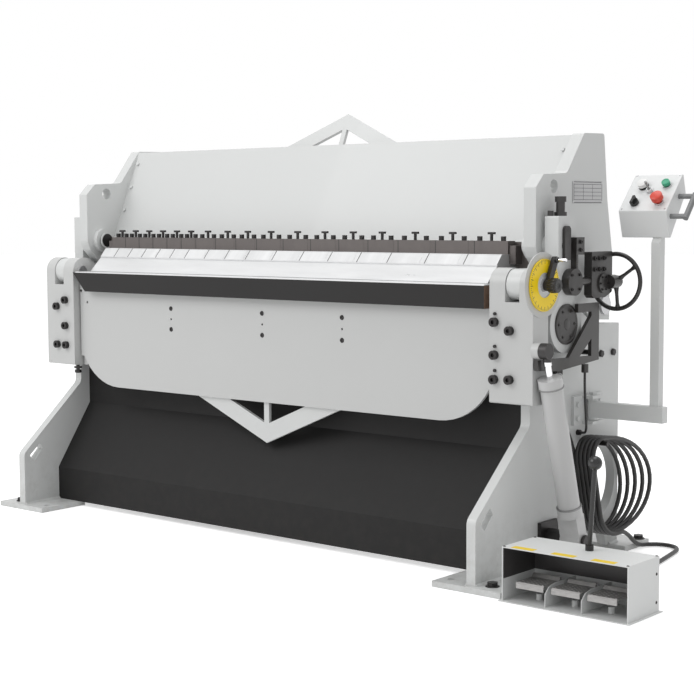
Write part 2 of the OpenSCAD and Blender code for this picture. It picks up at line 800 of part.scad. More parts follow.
module clamp_blocks() {
    color(bronze) {
        each_finger() block([$low, finger_front, block_low], [$low + $wide, finger_back, block_top]);
        both_ends() block([half_len + 1, finger_front + 6, block_low - 30], [half_len + 24, finger_back, block_top - 14]);
    }
}

module fingers() {
    color(bright) each_finger() along_x($low, $wide) polygon([
        [nose_top_y - 2.5, rebate_z], [-133, block_low], [finger_back, block_low],
        [finger_back, jaw_low + 3], [rebate_y, jaw_low + 3], [rebate_y, rebate_z]
    ]);
}

module nose_bar() {
    color(bright) along_x(-half_len, 2 * half_len) polygon([
        [axis_y, jaw_low], [nose_top_y, jaw_low + 51], [nose_top_y, rebate_z],
        [rebate_y, rebate_z], [rebate_y, jaw_low]
    ]);
}

// Clamping screws on the blocks: one T head and two square heads to a finger
screw_y = -80;
module finger_screws() {
    color(black) each_finger() {
        mid = $low + $wide / 2;
        rod_z(block_top, 20, [mid, screw_y], 5);
        block([mid - 12, screw_y - 5, block_top + 20], [mid + 12, screw_y + 5, block_top + 27]);
        for (s = [-0.3, 0.3]) {
            block([mid + s * $wide - 6, screw_y - 6, block_top], [mid + s * $wide + 6, screw_y + 6, block_top + 14]);
        }
    }
}

module link_pins() {
    color(black) both_ends() {
        rod_x(upper_x - 30, link_out - 0.6 - upper_x + 30, [link_pin_y, link_pin_z], link_pin_r);
        rod_x(upper_x - 34, 4, [link_pin_y, link_pin_z], 31);
        rod_x(upper_out, link_x - upper_out - 0.4, [link_pin_y, link_pin_z], 38);
    }
    color(black) mirror([1, 0, 0]) rod_x(link_out - 0.6, 20, [link_pin_y, link_pin_z], link_pin_r);
}

// Side links from the upper pins down to the crank rings
link_front = -121;
link_top = 1093;
module link_body() {
    difference() {
        along_x(link_x, link_t) {
            polygon(rounded([
                [link_front, ring_z, 0], [link_front, link_top, 4],
                [link_front + link_w, link_top, 4], [link_front + link_w, ring_z, 0]
            ]));
            translate([link_pin_y, ring_z]) circle(ring_r);
        }
        rod_x(link_x - 1, link_t + 2, [link_pin_y, link_pin_z], link_pin_r + run_clear);
        rod_x(link_x - 1, link_t + 2, [link_pin_y, ring_z], ring_bore_r);
    }
}
module link_right() { color(paint) link_body(); }
module link_left() { color(paint) mirror([1, 0, 0]) link_body(); }

screw_at = [link_x + link_t / 2, -72];
module link_fittings() {
    rod_x(link_out, 4, [link_pin_y, ring_z], ring_bore_r + 6);
    rod_z(link_top, 12, screw_at, 19.5);
    rod_z(link_top + 12, 30, screw_at, 13.5);
    rod_z(link_top + 42, 17, screw_at, 17.5);
    rod_z(link_top, 16, [link_x + 11, link_front + 14], 9);
}
module link_fittings_right() { color(black) link_fittings(); }
module link_fittings_left() { color(black) mirror([1, 0, 0]) link_fittings(); }

// Thickness adjuster on the right link: bar, block, round housing and cross tube
housing_at = [-62, 893];
module adjuster_drive() {
    color(black) {
        along_x(unit_x, 10) polygon(rounded([
            [-99, 960, 0], [-99, 1063, 14], [-65, 1063, 14], [-65, 960, 0]
        ]));
        block([unit_x, -50, 975], [unit_x + 20, -4, 1028]);
        block([unit_x, -50, 925], [unit_x + 20, -40, 975]);
        rod_x(unit_x, unit_t - 1, housing_at, 41);
        rod_y(-30, gear_front + 30, [unit_x + 13, housing_at.y], 12);
    }
}

// Gearbox with the handwheel shaft's bearing
wheel_shaft_r = 10;
module gearbox() {
    color(black) difference() {
        union() {
            along_x(unit_x, unit_t) polygon(rounded([
                [gear_front, 850, 0], [gear_front, 982, 2], [gear_back, 982, 2],
                [gear_back, 856, 10], [108, 840, 0], [gear_front + 12, 840, 4]
            ], 3));
            rod_y(gear_back - 30, 33, [wheel_x, wheel_z], 22);
            rod_x(unit_x + unit_t, 5, [95, 884], 30);
        }
        rod_y(gear_back - 25, 40, [wheel_x, wheel_z], wheel_shaft_r + run_clear);
    }
}

// Handwheel: rim, hub and three spokes, on its shaft
rim_r = 7;
module handwheel() {
    color(black) translate([wheel_x, wheel_y, wheel_z]) {
        rotate([90, 0, 0]) rotate_extrude($fn = 72) translate([wheel_r - rim_r, 0]) circle(rim_r, $fn = 24);
        rod_y(-8, 18, [0, 0], 19);
        rod_y(gear_back - 23 - wheel_y, 15 + wheel_y - gear_back, [0, 0], wheel_shaft_r);
        for (a = [35, 155, 275]) rotate([0, 90 - a, 0]) {
            translate([0, 0, 12]) cylinder(h = wheel_r - rim_r - 14, r = 5.5);
        }
    }
}

// Cross shaft with its two cranks and the lever of the clamp cylinder
module crank() {
    rod_x(frame_out + 1.5, link_out - frame_out - 4.5, [link_pin_y, ring_z], disc_r);
    rod_x(frame_out + 1.5, link_x - frame_out - 2.5, [shaft_y, shaft_z], 42);
    along_x(frame_out + 1.5, link_x - frame_out - 2.5)
        translate([shaft_y, shaft_z]) rotate(180 + lever_angle)
            translate([0, -40]) square([throw_r, 80]);
}
module cross_shaft() {
    color(bright) {
        rod_x(-frame_out - 2, 2 * frame_out + 4, [shaft_y, shaft_z], shaft_r);
        both_ends() crank();
        along_x(lever_x, lever_t) translate([shaft_y, shaft_z]) rotate(lever_angle) {
            circle(44);
            translate([0, -18]) square([lever_r, 36]);
            translate([lever_r, 0]) circle(22);
        }
    }
}

// Apron plate with its rounded lower corners and mounting holes
hole_columns = [-455, -6, 352];
function apron_arc_points(s) =
    [for (i = [0:8]) let (a = -90 + i * 60 / 8)
        [s * (apron_half - 206 + apron_arc * cos(a)), apron_bottom + apron_arc + apron_arc * sin(a)]];
module apron_plate() {
    right = apron_arc_points(1);
    left = apron_arc_points(-1);
    color(paint) difference() {
        along_y(apron_front, apron_t) polygon(concat(
            [[-apron_half, rail_low], [-apron_half, right[8].y]],
            [for (i = [8:-1:0]) left[i]],
            right,
            [[apron_half, right[8].y], [apron_half, rail_low]]
        ));
        for (x = hole_columns) {
            for (z = [764, 726]) rod_y(apron_front - 1, apron_t + 2, [x * bend_len / 1829, z], 7);
            rod_y(apron_front - 1, apron_t + 2, [x * bend_len / 1829, 689], 5);
        }
        rod_y(apron_front - 1, apron_t + 2, [-apron_half + 40, 772], 5);
    }
}

bar_left = apron_half + 3;
bar_right = apron_half - 12;
module apron_bar() {
    color(black) along_y(bar_front, bar_t) polygon([
        [-bar_left, bar_top], [bar_right, bar_top], [bar_right, bar_low], [-bar_left + 68, bar_low]
    ]);
}

module folding_rail() {
    color(bright) along_x(-bar_right, 2 * bar_right) polygon([
        [bar_front, bar_top], [bar_front, bed_top], [blade_y, bed_top],
        [blade_y, rail_low], [apron_front, rail_low], [apron_front, bar_top]
    ]);
}

// Truss below the apron
low_truss_apex = 316;
low_truss_fall = tan(22.9);
low_band = 65;
low_reach = apron_half - 67.1;
module apron_truss() {
    rise = low_truss_fall * low_reach;
    color(paint) along_y(apron_back, truss_t) {
        polygon([
            [0, low_truss_apex], [low_reach, low_truss_apex + rise],
            [low_reach, low_truss_apex + rise + low_band], [0, low_truss_apex + low_band],
            [-low_reach, low_truss_apex + rise + low_band], [-low_reach, low_truss_apex + rise]
        ]);
        translate([-11.5, low_truss_apex + low_band / 2]) square([23, 250]);
    }
}

// Brackets at the apron's ends: clevis ears round the pivot pins
module apron_bracket() {
    difference() {
        union() {
            along_x(bracket_in, bracket_out - bracket_in) {
                translate([axis_y, axis_z]) circle(ear_r);
                polygon(rounded([
                    [bracket_front, bracket_low, 6], [bracket_front, axis_z, 0],
                    [axis_y + ear_r, axis_z, 0], [axis_y + ear_r, slot_floor - 4, 0],
                    [bracket_back, slot_floor - 4, 0], [bracket_back, bracket_low, 6]
                ], 4));
            }
            block([end_plate_in, bracket_back, bracket_low], [link_x - 2, end_plate_back, slot_floor - 2]);
            block([end_plate_in, apron_back, bracket_low], [apron_half - 2, bracket_back, slot_floor - 2]);
        }
        block([ear_in, bracket_front - 1, slot_floor], [ear_out, -100, axis_z + 100]);
        rod_x(bracket_in - 1, bracket_out - bracket_in + 2, [axis_y, axis_z], pivot_r + run_clear);
    }
}

module apron_bracket_left() { color(paint) mirror([1, 0, 0]) apron_bracket(); }

// The right one also carries the rod's boss and the index disc
module apron_bracket_right() {
    color(paint) {
        apron_bracket();
        rod_x(bracket_out, cyl_x - 13.5 - bracket_out, eye_at, eye_r);
        difference() {
            rod_x(bracket_out, 3, [axis_y, axis_z], index_r);
            rod_x(bracket_out - 1, 5, [axis_y, axis_z], pivot_r + run_clear);
        }
    }
}

// Cap screws of the brackets, as distances from the bracket's inner face and heights
screws_left = [[46, 779], [96, 754], [47, 681], [95, 608], [45, 607]];
screws_right = [[20, 777], [20, 678], [19, 604], [75, 753], [74, 606]];
small_screws = [802, 704, 631];
module bracket_screws() {
    color(black) {
        for (p = screws_left) translate([-bracket_in - p.x, bracket_front, p.y])
            rotate([90, 0, 0]) cap_screw(14, 14);
        for (p = screws_right) translate([bracket_in + p.x, bracket_front, p.y])
            rotate([90, 0, 0]) cap_screw(14, 14);
        for (z = small_screws) translate([bracket_in + 21, bracket_front, z])
            rotate([90, 0, 0]) cylinder(h = 5, r = 5);
    }
}

// Bend cylinder, drawn upright from its foot pin and then tilted
module in_cylinder() {
    translate([cyl_x, cyl_foot.x, cyl_foot.y]) rotate([cyl_tilt, 0, 0]) children();
}
module bend_cylinder() {
    color(paint) in_cylinder() difference() {
        union() {
            rod_x(-tube_r, 2 * tube_r, [0, 0], 30);
            block([-tube_r, -22, 0], [tube_r, 22, tube_start + 2]);
            rod_z(tube_start, 30, [0, 0], tube_r + 4);
            rod_z(tube_start, tube_end - tube_start - 2, [0, 0], tube_r);
            rod_z(tube_end - 28, 28, [0, 0], tube_r + 3);
            rod_y(0, tube_r + 22, [0, tube_end - 14], 10);
            rod_y(0, tube_r + 18, [0, tube_start + 15], 10);
        }
        rod_x(-tube_r - 1, 2 * tube_r + 2, [0, 0], 14 + run_clear);
        rod_z(tube_start + 30, tube_end - 28 - tube_start - 30, [0, 0], tube_bore_r + run_clear);
        rod_z(tube_end - 30, 40, [0, 0], piston_rod_r + run_clear);
    }
}
module bend_rod() {
    color(bright) in_cylinder() {
        rod_z(tube_start + 33, 18, [0, 0], tube_bore_r);
        rod_z(tube_start + 51, cyl_span - tube_start - 60, [0, 0], piston_rod_r);
        rod_x(-13, 26, [0, cyl_span], eye_r);
        rod_z(cyl_span - 44, 30, [0, 0], 12.5);
    }
}

// Angle stop: a lever on the pivot pin, with its pin and clamping knob
module stop_lever() {
    color(black) difference() {
        union() {
            along_x(stop_x, stop_t) translate([axis_y, axis_z]) rotate(stop_angle) {
                circle(17);
                translate([0, -11]) square([stop_len - 9, 22]);
                translate([stop_len - 9, 0]) circle(11);
            }
            rod_x(stop_x + stop_t + 2, 28, [axis_y, axis_z], 21);
            rod_x(stop_x + stop_t, 4, [axis_y, axis_z], 15);
            rod_x(stop_x + stop_t, 34,
                [axis_y + (stop_len - 9) * cos(stop_angle), axis_z + (stop_len - 9) * sin(stop_angle)], 4);
        }
        rod_x(stop_x - 1, stop_t + 4, [axis_y, axis_z], 12 + run_clear);
    }
}

// Pendant: swivel hub, arm and post
module pendant_arm() {
    color(paint) difference() {
        union() {
            rod_z(lug_low + 0.5, lug_high - lug_low - 1, swivel, 16);
            block([swivel.x, swivel.y - 16, arm_z], [arm_end, swivel.y + 16, arm_z + arm_h]);
            difference() {
                block([post_x - post_w / 2, swivel.y + 3 - post_w / 2, arm_z + arm_h],
                    [post_x + post_w / 2, swivel.y + 3 + post_w / 2, 1200]);
                along_x(post_x - post_w, 2 * post_w) polygon([
                    [box_side[3].x - 60, box_side[3].y - 60 * under_slope], [box_side[2].x, box_side[2].y],
                    [box_side[2].x, 1300], [box_side[3].x - 60, 1300]
                ]);
            }
        }
        rod_z(lug_low, lug_high - lug_low, swivel, 9 + run_clear);
    }
}

// Control box: a tapered case with its sloped panel and the guard handle
module on_panel(across, up) {
    at = box_side[0] + up * unit(box_side[1] - box_side[0]);
    translate([box_x + across, at.x, at.y]) rotate([panel_tilt, 0, 0]) children();
}
handle_low = [138, 1090];
handle_high = [190, 1150];
module control_box() {
    color(paint) difference() {
        along_x(box_x, box_w) polygon(rounded([for (p = box_side) [p.x, p.y, 4]], 3));
        on_panel(button_at[0].x, button_at[0].y) translate([0, 0, -12]) cylinder(h = 20, r = 9 + run_clear);
        on_panel(button_at[1].x, button_at[1].y) translate([0, 0, -12]) cylinder(h = 20, r = 9 + run_clear);
        on_panel(button_at[2].x, button_at[2].y) translate([0, 0, -12]) cylinder(h = 20, r = 9 + run_clear);
        on_panel(button_at[3].x, button_at[3].y) translate([0, 0, -12]) cylinder(h = 20, r = 9 + run_clear);
    }
    color("#77787a") {
        for (p = [handle_low, handle_high]) rod_x(box_x + box_w, 52, p, 8);
        translate([box_x + box_w + 52, handle_low.x, handle_low.y])
            rotate([-atan2(handle_high.x - handle_low.x, handle_high.y - handle_low.y), 0, 0])
                translate([0, 0, -9]) cylinder(h = norm(handle_high - handle_low) + 18, r = 9);
    }
    color(black) on_panel(toggle_at[0], toggle_at[1]) difference() {
        cylinder(h = 11, r = 9);
        translate([0, 0, 1]) cylinder(h = 12, r = 6);
    }
}
toggle_at = [77, 82];
module toggle_switch() {
    color(bright) on_panel(toggle_at[0], toggle_at[1]) {
        translate([0, 0, 1.9]) cylinder(h = 34, r = 3);
        translate([-4.5, 0, 4]) rotate([0, 90, 0]) cylinder(h = 9, r = 2);
        translate([0, 0, 34]) cylinder(h = 8, r = 4);
    }
}
// Buttons: places on the panel, across from its left edge and up from its front edge
button_at = [[125, 37], [127, 105], [49, 101], [44, 31]];
module push_button(i, head_r, head_h, head_z) {
    on_panel(button_at[i].x, button_at[i].y) {
        translate([0, 0, -6]) cylinder(h = 6 + head_z, r = 9);
        translate([0, 0, head_z]) cylinder(h = head_h, r = head_r);
    }
}
module emergency_stop() { color("#d8432e") push_button(0, 19, 14, 14); }
module green_button() { color("#2f9a72") push_button(1, 13, 8, 8); }
module white_button() { color(paint) push_button(2, 16, 10, 8); }
module selector_switch() {
    color(black) on_panel(button_at[3].x, button_at[3].y) {
        translate([0, 0, -6]) cylinder(h = 7, r = 9);
        translate([0, 0, 1]) cylinder(h = 9, r = 14);
        translate([-4, -14, 10]) cube([8, 28, 12]);
    }
}

end_frame_left();
end_frame_right();
bed_beam();
bed_rail();
rear_beam();
front_panel();
oil_tank();
pump_motor();
valve_block();
pivot_pins();
angle_dial();
switch_frame();
pendant_bracket();
frame_fasteners();
clamp_cylinder();
pedal_box();
carry_handle();
cable_riser();
cable_coil();
pedal_cable();
sensor_cable();
upper_frame_left();
upper_frame_right();
front_sheet();
top_truss();
clamp_beam();
clamp_blocks();
fingers();
nose_bar();
finger_screws();
link_pins();
link_left();
link_right();
link_fittings_left();
link_fittings_right();
adjuster_drive();
gearbox();
handwheel();
cross_shaft();
clamp_rod();
apron_plate();
apron_bar();
folding_rail();
apron_truss();
apron_bracket_left();
apron_bracket_right();
bracket_screws();
bend_cylinder();
bend_rod();
stop_lever();
pendant_arm();
control_box();
emergency_stop();
green_button();
white_button();
selector_switch();
toggle_switch();
pedal_left();
pedal_middle();
pedal_right();
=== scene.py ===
"""Finishes, cables and small trim of a hydraulic sheet metal brake, over its CAD frame."""

import math

import bmesh
import bpy
from mathutils import Matrix, Vector


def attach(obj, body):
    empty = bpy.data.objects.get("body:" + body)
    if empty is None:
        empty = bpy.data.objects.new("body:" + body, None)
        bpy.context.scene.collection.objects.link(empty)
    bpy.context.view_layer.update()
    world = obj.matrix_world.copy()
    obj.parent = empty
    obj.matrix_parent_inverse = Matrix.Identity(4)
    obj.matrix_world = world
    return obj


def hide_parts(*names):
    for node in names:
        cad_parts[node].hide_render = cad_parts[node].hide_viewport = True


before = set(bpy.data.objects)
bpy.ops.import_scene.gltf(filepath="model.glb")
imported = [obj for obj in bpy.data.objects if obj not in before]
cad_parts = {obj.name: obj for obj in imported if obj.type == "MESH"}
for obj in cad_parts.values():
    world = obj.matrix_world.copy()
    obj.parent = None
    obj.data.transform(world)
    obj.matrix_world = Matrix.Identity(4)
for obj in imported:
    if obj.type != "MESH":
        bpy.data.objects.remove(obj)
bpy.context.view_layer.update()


# Places, in millimetres

def mm(*point):
    return Vector(point) * 0.001


FOLD_AXIS = (-211, 889)             # y and z of the apron's pivot
LEAF_PIN = (-76, 1003)              # y and z of the leaf's pins
LINK_RING = (-76, 765)              # y and z of the round covers on the link rings
MOTOR_AXIS = (95, 522)              # y and z
UPPER_PLATE_OUT = 1046.5            # outer face of the upper side plates
END_FRAME_OUT = 1050.1              # outer face of the lower end frames
END_FRAME_IN = 1018.1               # their inner face
FOOT_TOP = 18                       # top of the foot plates
LINK_OUT = 1110.1                   # outer face of the side links
GEARBOX_OUT = 1137.1                # outer face of the gearbox
HANDWHEEL = (1143.1, 163, 887)      # middle of its hub
SHEET_FOOT = (14, 1080)             # y and z of a point low on the leaning front sheet
SHEET_SLOPE = 0.4142                # how far the sheet goes back for each step up
SHEET_OUT = (0, -0.924, 0.383)      # away from the sheet's front face
APRON_FRONT = -232                  # y of the apron's front face
APRON_COLUMNS = (-455, -6, 352)     # x of the three columns of holes in the apron
CYLINDER_FOOT = (1150.1, -84, 105)  # foot pivot of the bend cylinder
CYLINDER_LEAN = 15.67               # its lean to the front, in degrees
STOP_TIP = (83, 63)                 # reach and angle of the stop lever's tip from the pivot
PANEL_EDGE = (1181.1, 110, 1107)    # left front corner of the control panel
PANEL_UP = (0.67746, 0.73556)       # the panel's slope, y and z
PANEL_OUT = (0, -PANEL_UP[1], PANEL_UP[0])
STOP_BUTTON = (125, 37)             # across and up on the panel
GREEN_BUTTON = (127, 105)
WHITE_BUTTON = (49, 101)
TOGGLE = (77, 82)
PEDAL_CENTRES = (1243, 1361, 1478)
PEDAL_BOX_TOP = 158


# Camera

def make_camera():
    yaw, pitch, roll = math.radians(40.0), math.radians(4.96), math.radians(-0.30)
    ahead = Vector((-math.sin(yaw) * math.cos(pitch), math.cos(yaw) * math.cos(pitch),
                    -math.sin(pitch)))
    level = Vector((math.cos(yaw), math.sin(yaw), 0))
    above = level.cross(ahead)
    right = level * math.cos(roll) + above * math.sin(roll)
    top = above * math.cos(roll) - level * math.sin(roll)
    data = bpy.data.cameras.new("camera")
    data.sensor_width, data.lens = 36.0, 80.27
    data.clip_start, data.clip_end = 0.05, 200.0
    camera = bpy.data.objects.new("camera", data)
    turned = Matrix((right, top, -ahead)).transposed().to_4x4()
    camera.matrix_world = Matrix.Translation(mm(3613, -4093, 1109)) @ turned
    bpy.context.scene.collection.objects.link(camera)
    bpy.context.scene.camera = camera


make_camera()


# Node helpers

class Shader:
    """A node tree with short calls for adding nodes and joining them."""

    def __init__(self, tree):
        self.tree = tree

    def add(self, kind, **settings):
        node = self.tree.nodes.new(kind)
        for name, value in settings.items():
            setattr(node, name, value)
        return node

    def join(self, source, target):
        self.tree.links.new(source, target)

    def feed(self, node, name, value):
        socket = node.inputs[name]
        if isinstance(value, bpy.types.NodeSocket):
            self.join(value, socket)
        else:
            socket.default_value = value

    def maths(self, operation, first, second=0.0):
        node = self.add("ShaderNodeMath", operation=operation)
        self.feed(node, 0, first)
        self.feed(node, 1, second)
        return node.outputs[0]

    def mix(self, amount, first, second):
        node = self.add("ShaderNodeMix", data_type="RGBA")
        self.feed(node, 0, amount)
        self.feed(node, 6, first)
        self.feed(node, 7, second)
        return node.outputs[2]

    def span(self, value, low, high, new_low, new_high):
        node = self.add("ShaderNodeMapRange")
        for index, number in enumerate((value, low, high, new_low, new_high)):
            self.feed(node, index, number)
        return node.outputs[0]

    def above(self, value, edge):
        return self.maths("GREATER_THAN", value, edge)

    def between(self, value, low, high):
        return self.maths("MULTIPLY", self.above(value, low), self.maths("LESS_THAN", value, high))

    def swing(self, value, amount, middle):
        """A value's swing about one half, scaled and moved to a new middle."""
        away = self.maths("MULTIPLY", self.maths("SUBTRACT", value, 0.5), amount)
        return self.maths("ADD", away, middle)

    def axes(self, place):
        node = self.add("ShaderNodeSeparateXYZ")
        self.join(place, node.inputs[0])
        return node.outputs

    def around(self, place, centre):
        """Distances along y and z from a centre in millimetres, and the straight distance."""
        axes = self.axes(place)
        across = self.maths("SUBTRACT", axes[1], centre[0] * 0.001)
        rise = self.maths("SUBTRACT", axes[2], centre[1] * 0.001)
        squares = [self.maths("MULTIPLY", side, side) for side in (across, rise)]
        return across, rise, self.maths("SQRT", self.maths("ADD", *squares))

    def noise(self, vector, scale, detail=4.0, roughness=0.55):
        node = self.add("ShaderNodeTexNoise")
        settings = {"Vector": vector, "Scale": scale, "Detail": detail, "Roughness": roughness}
        for name, value in settings.items():
            self.feed(node, name, value)
        return node.outputs["Fac"]

    def group(self, tree, **values):
        node = self.add("ShaderNodeGroup", node_tree=tree)
        for name, value in values.items():
            self.feed(node, name.replace("_", " "), value)
        return node.outputs


def new_group(name, inputs, outputs):
    tree = bpy.data.node_groups.new(name, "ShaderNodeTree")
    for socket, (kind, value) in inputs.items():
        made = tree.interface.new_socket(socket, in_out="INPUT", socket_type="NodeSocket" + kind)
        if value is not None:
            made.default_value = value
    for socket, kind in outputs.items():
        tree.interface.new_socket(socket, in_out="OUTPUT", socket_type="NodeSocket" + kind)
    build = Shader(tree)
    entry = build.add("NodeGroupInput")
    leave = build.add("NodeGroupOutput")
    return tree, build, entry.outputs, leave.inputs


def build_mottle():
    """Slow drift of a coat's colour, and its roughness."""
    tree, b, given, out = new_group(
        "mottle",
        {"Vector": ("Vector", None), "Colour": ("Color", (0.5, 0.5, 0.5, 1)), "Drift": ("Float", 0.06),
         "Size": ("Float", 3.0), "Rough": ("Float", 0.4), "Rough Drift": ("Float", 0.08)},
        {"Colour": "Color", "Roughness": "Float"})
    slow = b.noise(given["Vector"], given["Size"], 3.0)
    small = b.noise(given["Vector"], 38.0, 5.0)
    both = b.maths("ADD", b.maths("MULTIPLY", slow, 0.7), b.maths("MULTIPLY", small, 0.3))
    shade = b.swing(both, given["Drift"], 1.0)
    tint = b.add("ShaderNodeMix", data_type="RGBA", blend_type="MULTIPLY")
    b.feed(tint, 0, 1.0)
    b.feed(tint, 6, given["Colour"])
    gray = b.add("ShaderNodeCombineColor")
    for index in range(3):
        b.feed(gray, index, shade)
    b.feed(tint, 7, gray.outputs[0])
    b.join(tint.outputs[2], out["Colour"])
    b.join(b.swing(small, given["Rough Drift"], given["Rough"]), out["Roughness"])
    return tree


def build_orange_peel():
    """The fine pebbling of sprayed paint, as a height."""
    tree, b, given, out = new_group(
        "orange_peel",
        {"Vector": ("Vector", None), "Size": ("Float", 240.0), "Depth": ("Float", 0.5)},
        {"Height": "Float"})
    fine = b.noise(given["Vector"], given["Size"], 2.0)
    wide = b.noise(given["Vector"], 24.0, 2.0)
    both = b.maths("ADD", fine, b.maths("MULTIPLY", wide, 0.6))
    b.join(b.maths("MULTIPLY", both, given["Depth"]), out["Height"])
    return tree


def build_grain():
    """Lines left by grinding or milling: a mask, a roughness and a height."""
    tree, b, given, out = new_group(
        "grain",
        {"Vector": ("Vector", None), "Lines": ("Float", 90.0), "Rough": ("Float", 0.3),
         "Depth": ("Float", 0.3)},
        {"Mask": "Float", "Roughness": "Float", "Height": "Float"})
    lines = b.noise(given["Vector"], given["Lines"], 6.0, 0.7)
    patch = b.noise(given["Vector"], 4.0, 3.0)
    mask = b.maths("ADD", b.maths("MULTIPLY", lines, 0.6), b.maths("MULTIPLY", patch, 0.4))
    b.join(mask, out["Mask"])
    b.join(b.swing(mask, 0.35, given["Rough"]), out["Roughness"])
    b.join(b.maths("MULTIPLY", lines, given["Depth"]), out["Height"])
    return tree


def build_grime():
    """Dust and shop dirt that gathers near the floor."""
    tree, b, given, out = new_group(
        "grime",
        {"Vector": ("Vector", None), "Colour": ("Color", (0.5, 0.5, 0.5, 1)),
         "Dirt": ("Color", (0.2, 0.18, 0.15, 1)), "Reach": ("Float", 0.25), "Amount": ("Float", 0.35)},
        {"Colour": "Color"})
    low = b.span(b.axes(given["Vector"])[2], 0.0, given["Reach"], 1.0, 0.0)
    spots = b.span(b.noise(given["Vector"], 26.0, 6.0, 0.65), 0.42, 0.72, 0.0, 1.0)
    amount = b.maths("MULTIPLY", b.maths("MULTIPLY", low, spots), given["Amount"])
    b.join(b.mix(amount, given["Colour"], given["Dirt"]), out["Colour"])
    return tree


# The seams count whole inches from the left end. The frame's fingers share 1829 mm out in the same
# proportions and are 1.4 percent narrower, so each seam lies 1 to 23 mm to the right of its joint.
INCH = 0.0254
SEAMS_START = -0.9144
FINGER_WIDTHS = (3, 3, 3, 3, 3, 3, 4, 4, 4, 5, 5, 5, 5, 5, 6, 6, 6)


def build_seams():
    """Thin dark lines that stand for the joints of the fingers and of their clamp blocks."""
    tree, b, given, out = new_group(
        "seams",
        {"Vector": ("Vector", None), "Width": ("Float", 0.0012)},
        {"Mask": "Float"})
    along = b.axes(given["Vector"])[0]
    mask, edge = None, SEAMS_START
    for width in FINGER_WIDTHS[:-1]:
        edge += width * INCH
        away = b.maths("ABSOLUTE", b.maths("SUBTRACT", along, edge))
        near = b.maths("LESS_THAN", away, given["Width"])
        mask = near if mask is None else b.maths("MAXIMUM", mask, near)
    b.join(mask, out["Mask"])
    return tree


MOTTLE = build_mottle()
SEAMS = build_seams()
ORANGE_PEEL = build_orange_peel()
GRAIN = build_grain()
GRIME = build_grime()


def start_material(name):
    material = bpy.data.materials.new(name)
    material.use_nodes = True
    b = Shader(material.node_tree)
    shader = material.node_tree.nodes["Principled BSDF"]
    place = b.add("ShaderNodeTexCoord").outputs["Object"]
    return material, b, shader, place


def add_bump(b, shader, height, strength, distance):
    bump = b.add("ShaderNodeBump")
    bump.inputs["Strength"].default_value = strength
    bump.inputs["Distance"].default_value = distance
    b.join(height, bump.inputs["Height"])
    b.join(bump.outputs[0], shader.inputs["Normal"])


def lay_coat(b, shader, coat):
    """Give the shader the colour and the roughness of a coat."""
    b.join(coat["Colour"], shader.inputs["Base Color"])
    b.join(coat["Roughness"], shader.inputs["Roughness"])


def add_peel(b, shader, place, strength, distance, **values):
    """The orange peel of sprayed paint or moulded plastic, as a bump."""
    height = b.group(ORANGE_PEEL, Vector=place, **values)["Height"]
    add_bump(b, shader, height, strength, distance)


def paint(name, colour, rough=0.42, drift=0.05, dirt=0.3, peel=0.5, coat_weight=0.15, gloss=0.5):
    material, b, shader, place = start_material(name)
    coat = b.group(MOTTLE, Vector=place, Colour=(*colour, 1), Drift=drift, Rough=rough)
    dusted = b.group(GRIME, Vector=place, Colour=coat["Colour"], Amount=dirt)
    b.join(dusted["Colour"], shader.inputs["Base Color"])
    b.join(coat["Roughness"], shader.inputs["Roughness"])
    shader.inputs["Coat Weight"].default_value = coat_weight
    shader.inputs["Specular IOR Level"].default_value = gloss
    add_peel(b, shader, place, 0.10, 0.0006, Depth=peel)
    return material


def ground_steel(name, colour, dark, rough, along=(1, 1, 1), lines=90.0, metallic=1.0, seams=0.0):
    material, b, shader, place = start_material(name)
    mapping = b.add("ShaderNodeMapping")
    b.join(place, mapping.inputs["Vector"])
    mapping.inputs["Scale"].default_value = along
    grain = b.group(GRAIN, Vector=mapping.outputs[0], Lines=lines, Rough=rough)
    tone = b.mix(b.span(grain["Mask"], 0.3, 0.7, 0.0, 1.0), (*dark, 1), (*colour, 1))
    if seams:
        joint = b.group(SEAMS, Vector=place, Width=seams)["Mask"]
        tone = b.mix(joint, tone, (0.03, 0.028, 0.027, 1))
        b.join(b.maths("MULTIPLY", b.maths("SUBTRACT", 1.0, joint), metallic), shader.inputs["Metallic"])
    b.join(tone, shader.inputs["Base Color"])
    b.join(grain["Roughness"], shader.inputs["Roughness"])
    if not seams:
        shader.inputs["Metallic"].default_value = metallic
    add_bump(b, shader, grain["Height"], 0.08, 0.0003)
    return material


def plastic(name, colour, rough=0.3, speckle=0.04):
    material, b, shader, place = start_material(name)
    coat = b.group(MOTTLE, Vector=place, Colour=(*colour, 1), Drift=speckle, Size=22.0, Rough=rough,
                   Rough_Drift=0.12)
    lay_coat(b, shader, coat)
    add_peel(b, shader, place, 0.06, 0.0003, Size=600.0, Depth=0.4)
    return material


LIGHT_GREY = (0.62, 0.63, 0.625)
HANDLE_GREY = (0.185, 0.188, 0.192)
SEAM_WIDTH = 0.0016

